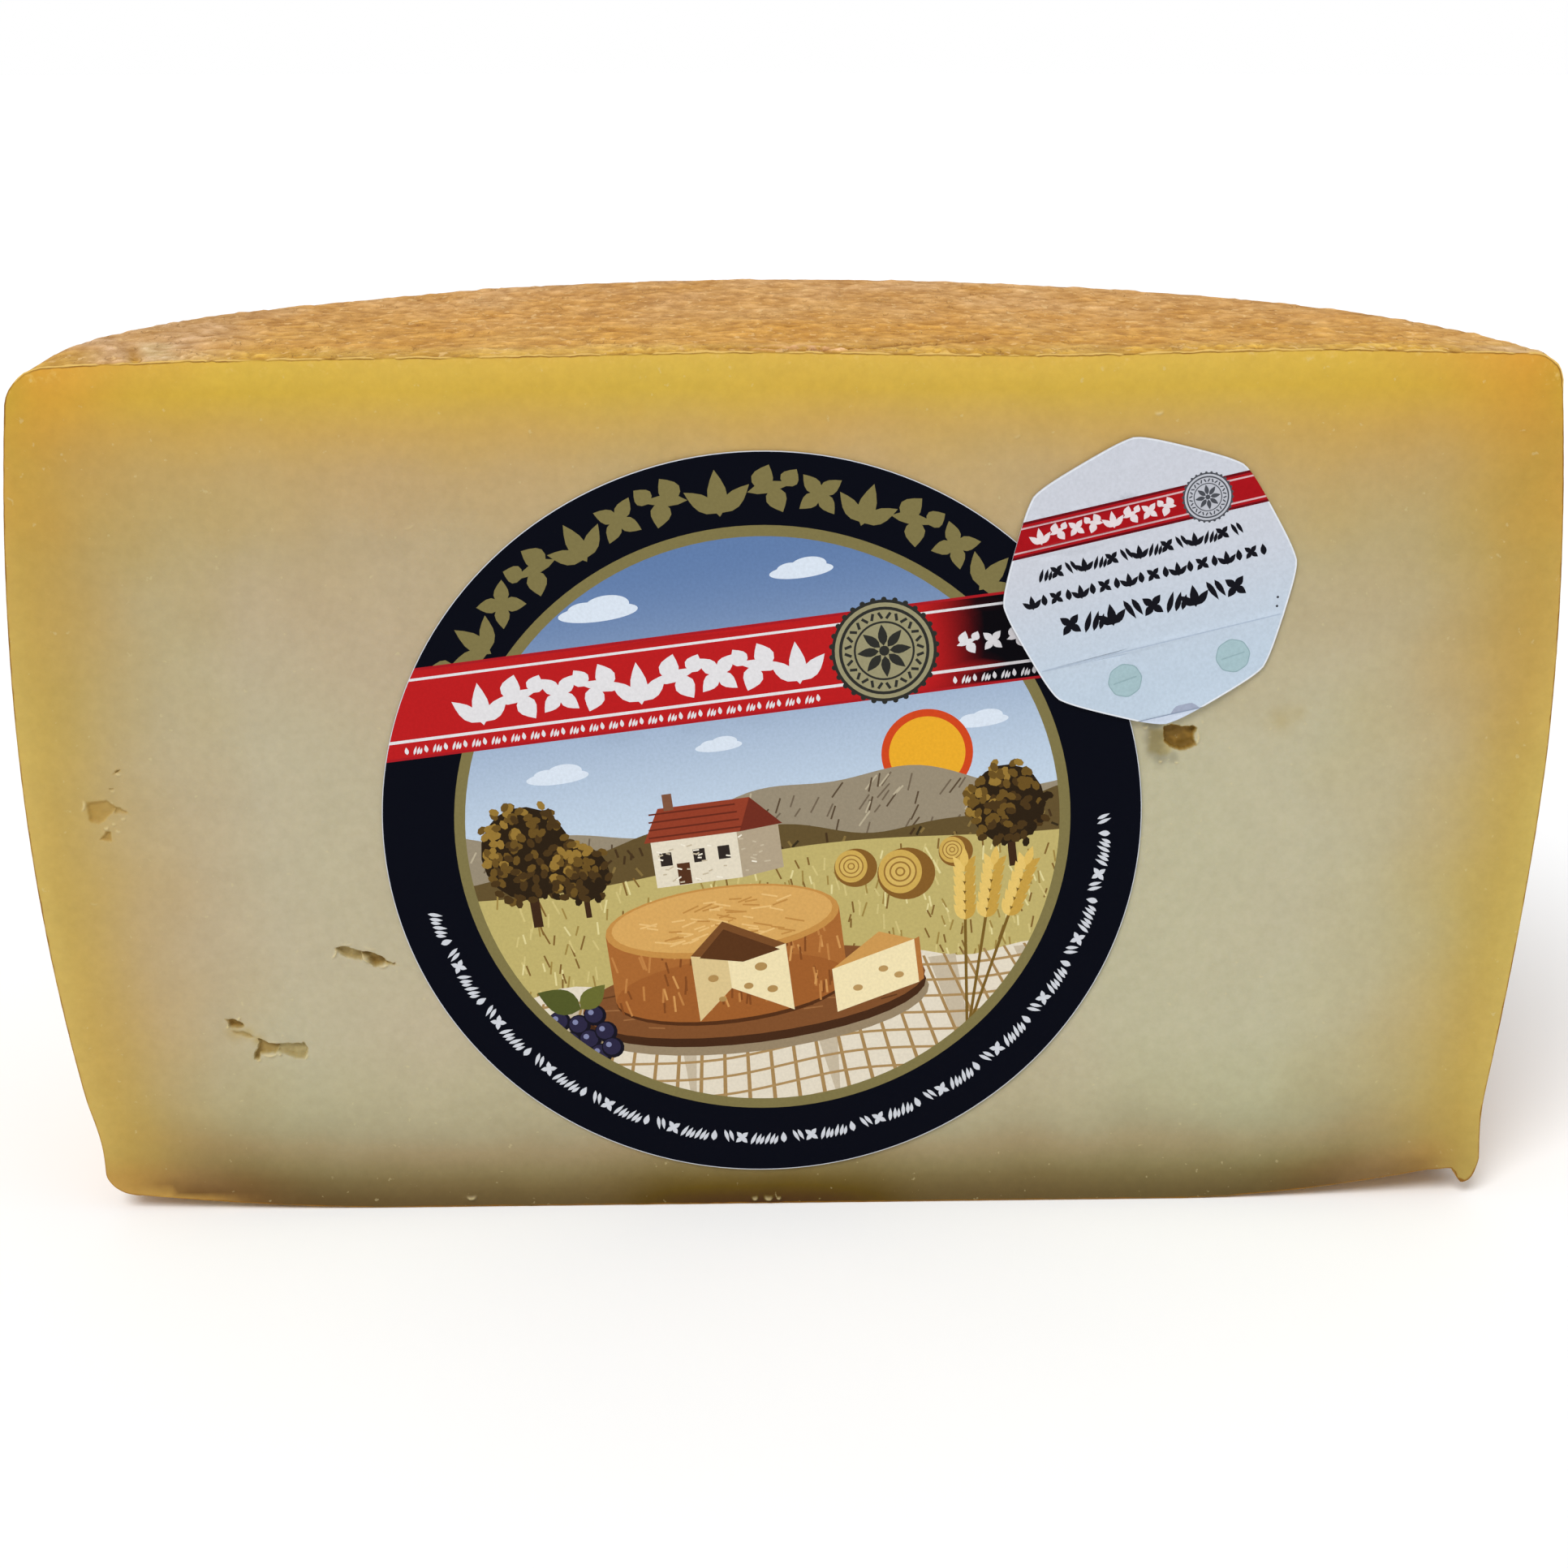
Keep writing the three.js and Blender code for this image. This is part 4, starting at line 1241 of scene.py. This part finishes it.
def band_ornaments(page):
    """White hairlines, a garland and a medallion on the red band."""
    pale = fade((224, 222, 224), (164, 158, 162), 18, 32, 0)
    page.stripes((BAND_HIGH - 1.05,), 80, 0.24, pale)
    page.stripes((BAND_LOW + 1.75,), 80, 0.28, pale)
    for up, start, end, tall, motifs, pitch in (
        (2.35, -25.6, 6.9, 4.0, (FAN, VINE, CROSS, VINE_BACK), 0.9),
        (3.1, 19.4, 33.0, 2.0, (VINE, CROSS), 1.05),
        (0.4, -31.6, 7.0, 0.9, (BUD, SPRIG), 1.0),
        (0.4, 18.6, 33.0, 0.9, (BUD, SPRIG), 1.0),
    ):
        page.frieze(straight_line(BAND_LOW + up), start, end, tall, motifs, pale, pitch)
    rosette(page, MEDALLION_U, (BAND_HIGH + BAND_LOW) / 2 + 0.2, 4.75, (46, 46, 42), (152, 146, 112))


def label_print():
    page = Print()
    page.discs(0, 0, ((LABEL_RADIUS, PAPER_WHITE), (INK_EDGE, NAVY)), 180)
    page.discs(0, 0, ((GOLD_RING, GOLD),), 140)
    page.clip = PICTURE
    countryside(page)
    page.clip = NO_CLIP
    ring_ornaments(page)
    page.clip = INK_EDGE
    band = fade(LABEL_RED, (7, 5, 10), 16.3, 22.3, 0)
    page.stripes(((BAND_LOW + BAND_HIGH) / 2,), 80, BAND_HIGH - BAND_LOW, band)
    page.stripes((BAND_LOW + 0.12, BAND_HIGH - 0.12), 80, 0.24, (168, 26, 34))
    page.clip = NO_CLIP
    band_ornaments(page)
    return page.art


STICKER_BAND = 6.46  # middle of its red band
STICKER_INK = (20, 20, 27)
FLAT_REACH, CORNER_REACH = 12.5, 13.3  # half its width across its flats and across its cut-off corners
CORNER_ROUND, ADDED_EDGE = 0.35, 0.12  # how soft the corners are, and what is added all round after that
FLAT_TURN = 8.5  # degrees
FOLD = -5.6
UNDERLAY = -12.4  # below this the sheet under the top one shows


def sticker_radius(angle):
    """Half the sticker's width in one direction: eight flat sides, as in the CAD, and rounded corners."""
    from_flat = np.mod(angle - radians(FLAT_TURN), pi / 4) - pi / 8
    flat = np.exp(-FLAT_REACH / np.cos(from_flat) / CORNER_ROUND)
    return -CORNER_ROUND * np.log(flat + np.exp(-CORNER_REACH / CORNER_ROUND)) + ADDED_EDGE


def sticker_outline(inset=0.0):
    """The outline on the sticker's own paper, which is turned with its print."""
    angle = np.linspace(0, 2 * pi, 160, endpoint=False)
    r = sticker_radius(angle) - inset
    return turned(np.c_[r * np.cos(angle), r * np.sin(angle)], -STICKER_TURN)


def sticker_print():
    page = Print()
    put = page.put
    # Painted highlight: a pale rim round the sheet's edge, where it catches the light; the paper's own
    # colour lies inside it
    put(sticker_outline(), (224, 228, 234))
    put(sticker_outline(0.14), fade((190, 205, 220), (203, 206, 215), -10, 6, 1))
    page.stripes((STICKER_BAND,), 40, 3.16, (104, 12, 22))
    page.stripes((STICKER_BAND,), 40, 2.7, STICKER_RED)
    page.stripes((STICKER_BAND - 1.04, STICKER_BAND + 1.04), 40, 0.16, (214, 174, 178))
    for low, start, end, tall, motifs, colour, pitch in (
        (STICKER_BAND - 0.78, -9.6, 3.6, 1.56, (FAN, VINE, CROSS, VINE_BACK), (226, 214, 216), 1.0),
        (2.35, -9.8, 9.0, 1.35, (SPRIG, CROSS, DROOP, FAN), STICKER_INK, 0.92),
        (0.05, -11.2, 11.0, 1.35, (FAN, BUD, CROSS, BUD), STICKER_INK, 0.84),
        (-3.1, -8.6, 8.4, 2.1, (CROSS, SPRIG, FAN, DROOP), STICKER_INK, 0.9),
    ):
        page.frieze(straight_line(low), start, end, tall, motifs, colour, pitch)
    rosette(page, 6.4, STICKER_BAND + 0.05, 2.2, (74, 76, 82), (188, 190, 198))
    # Painted shade along the fold in the sheet
    put(bar(0, FOLD, 22, 0.11, 0.6), (172, 186, 204))
    lobes = 1 + 0.02 * np.cos(np.arange(40) * 2 * pi / 5)[:, None]
    for u, v in ((-3.8, -8.3), (6.15, -8.34)):
        for radius, colour in ((1.55, (146, 172, 178)), (1.45, (164, 190, 196))):
            put((u, v) + (disc(u, v, radius, 40) - (u, v)) * lobes, colour)
        put(bar(u, v, 2.2, 0.13, 6), (148, 174, 180))
    tab = disc(1.0, -13.1, 1.5, 30)
    tab[:, 1] = np.clip(tab[:, 1], UNDERLAY, -11.75)
    put(tab, (160, 168, 188))
    put(bar(-0.5, UNDERLAY - 1.0, 9.0, 2.0), (204, 214, 230))
    # Painted shadow line where the top sheet ends over the one under it
    put(bar(-0.5, UNDERLAY, 7.0, 0.1), (150, 164, 188))
    for u, v in ((11.0, -3.9), (10.8, -4.7)):
        put(disc(u, v, 0.12, 8), (60, 60, 66))
    return page.art


def make_paper(name, outline, art, turn, x, z, front, back, material, step):
    """A closed sheet of paper. front() and back() give how far it stands off the cut, in millimetres."""
    inner = spread(outline, step, 0.5)
    points = [outline, inner]
    edges = loop_edges(len(outline))
    start = len(outline) + len(inner)
    for corners, _, _ in art:
        points.append(corners)
        edges += loop_edges(len(corners), start)
        start += len(corners)
    flat, _, triangles, *_ = delaunay_2d_cdt(np.vstack(points).tolist(), edges, [], 0, 1e-5, False)
    flat, triangles = np.array([tuple(v) for v in flat]), np.array(triangles)
    triangles = triangles[depth_inside(flat[triangles].mean(axis=1), outline) > 0]
    used, triangles = np.unique(triangles, return_inverse=True)
    triangles = triangles.reshape(-1, 3)
    flat = flat[used]

    middles = flat[triangles].mean(axis=1)
    reach = np.hypot(*middles.T)
    colours = np.zeros((len(triangles), 3, 3))
    for corners, colour, clip in art:
        near = np.flatnonzero(in_zone(middles, (corners.min(axis=0), corners.max(axis=0))) & (reach < clip))
        mine = near[depth_inside(middles[near], corners) > 0]
        colours[mine] = colour(flat[triangles[mine]]) if callable(colour) else linear(colour, FACE_LIGHT)

    count = len(flat)
    starts, ends = triangles.ravel(), np.roll(triangles, -1, axis=1).ravel()
    rim = ~np.isin(starts * count + ends, ends * count + starts)
    starts, ends = starts[rim], ends[rim]
    walls = np.stack([ends, starts, starts + count, ends + count], axis=1)
    on_cut = turned(flat, turn, x, z)
    sides = [np.c_[on_cut[:, 0], -stands(on_cut), on_cut[:, 1]] for stands in (front, back)]
    faces = triangles.tolist() + (triangles[:, ::-1] + count).tolist() + walls.tolist()
    bare = np.tile(linear(PAPER_WHITE, FACE_LIGHT), (triangles.size + walls.size, 1))
    colours = np.vstack([colours.reshape(-1, 3), bare])
    kinds = np.zeros(len(faces), int)
    return make_object(name, np.vstack(sides), faces, (material,), kinds, PAPER_SHARP, colours)


def paper_waves(points, size, shift):
    return 0.03 * bumps(np.c_[points, np.zeros(len(points))], size, 2, shift)


def label_front(points):
    return PASTE_GAP + PAPER + paper_waves(points, 9.0, 2.0)


def label_back(points):
    return np.full(len(points), PASTE_GAP)


def on_sticker(points):
    return turned(points - (STICKER_X, STICKER_Z), -STICKER_TURN).T


def sticker_back(points):
    """Over the label's edge, flat on the cheese, and curled below."""
    over = (PAPER + 0.06) * (1 - smoothstep(past_label(points), 0.4, 2.6))
    u, v = on_sticker(points)
    curl = 0.35 * smoothstep(-v, 10.0, 13.4) * smoothstep(u, -6.0, 2.0)
    fold = 0.05 * bell(v - FOLD, 0.25)
    return PASTE_GAP + over + curl + fold + 0.03 + paper_waves(points, 7.0, 6.0)


def sticker_front(points):
    _, v = on_sticker(points)
    return sticker_back(points) + PAPER + 0.08 * smoothstep(v, UNDERLAY - 0.05, UNDERLAY + 0.05)


def make_label():
    return make_paper("round_paper_label", disc(0, 0, LABEL_RADIUS, 180), label_print(),
                      LABEL_TURN, LABEL_X, LABEL_Z, label_front, label_back,
                      paper_material("label_paper", LABEL_ROUGH), LABEL_STEP)


def make_sticker():
    return make_paper("eight_sided_sticker", sticker_outline(), sticker_print(),
                      STICKER_TURN, STICKER_X, STICKER_Z, sticker_front, sticker_back,
                      paper_material("sticker_paper", STICKER_ROUGH), STICKER_STEP)


# Stage, light and camera

FLOOR_SIDES, FLOOR_RINGS = 96, (0.3, 1.2, 6.0)  # radii in metres


def make_floor():
    mesh = bpy.data.meshes.new("floor")
    angle = np.arange(FLOOR_SIDES) * 2 * pi / FLOOR_SIDES
    rings = [np.c_[r * np.cos(angle), r * np.sin(angle), 0 * angle] for r in FLOOR_RINGS]
    faces = [list(range(FLOOR_SIDES))]
    for ring in (0, FLOOR_SIDES):
        faces += [[a, a + FLOOR_SIDES, b + FLOOR_SIDES, b] for a, b in loop_edges(FLOOR_SIDES, ring)]
    mesh.from_pydata(np.vstack(rings).tolist(), [], faces)
    material = bpy.data.materials.new("pale_floor")
    mesh.materials.append(material)
    nodes = Nodes(material)
    tone = nodes.ramp(nodes.noise(60, 3), (0.3, (0.955, 0.965, 0.975)), (0.7, (0.97, 0.98, 0.99)))
    nodes.surface(tone, 0.9, 0.1)
    floor = into_scene("floor", mesh)


def make_lights():
    """A pale sky that is brightest along the horizon, and a wide soft sun from the upper left."""
    world = bpy.data.worlds.new("studio")
    bpy.context.scene.world = world
    nodes = Nodes(world)
    glow = nodes.ramp(nodes.height("Generated"), (0.05, (HORIZON,) * 3), (0.3, (SKY,) * 3))
    nodes.feed(nodes.tree.nodes["Background"], {"Color": glow})

    data = bpy.data.lights.new("sun", "SUN")
    data.energy = SUN_STRENGTH
    data.angle = radians(SUN_WIDTH)
    into_scene("sun", data).rotation_euler = (radians(90 - SUN_UP), 0.0, radians(-SUN_LEFT))
    bpy.context.scene.view_settings.view_transform = "Standard"


def make_camera():
    data = bpy.data.cameras.new("photo_camera")
    data.sensor_width = SENSOR
    data.lens = LENS
    data.clip_start = 0.01
    camera = into_scene("photo_camera", data)
    camera.location = into_frame(np.array([CAMERA_PLACE]))[0]
    camera.rotation_euler = (radians(90 - CAMERA_DOWN), 0.0, radians(-CAMERA_RIGHT))
    bpy.context.scene.camera = camera


make_camera()
make_lights()
make_floor()
for built, node, slot in (
    (make_cheese(paste_material(), rind_material()), "cheese", "cheese"),
    (make_label(), "round_label", "label_print"),
    (make_sticker(), "control_sticker", "sticker_print"),
):
    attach(built, "root")
    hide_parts(node)
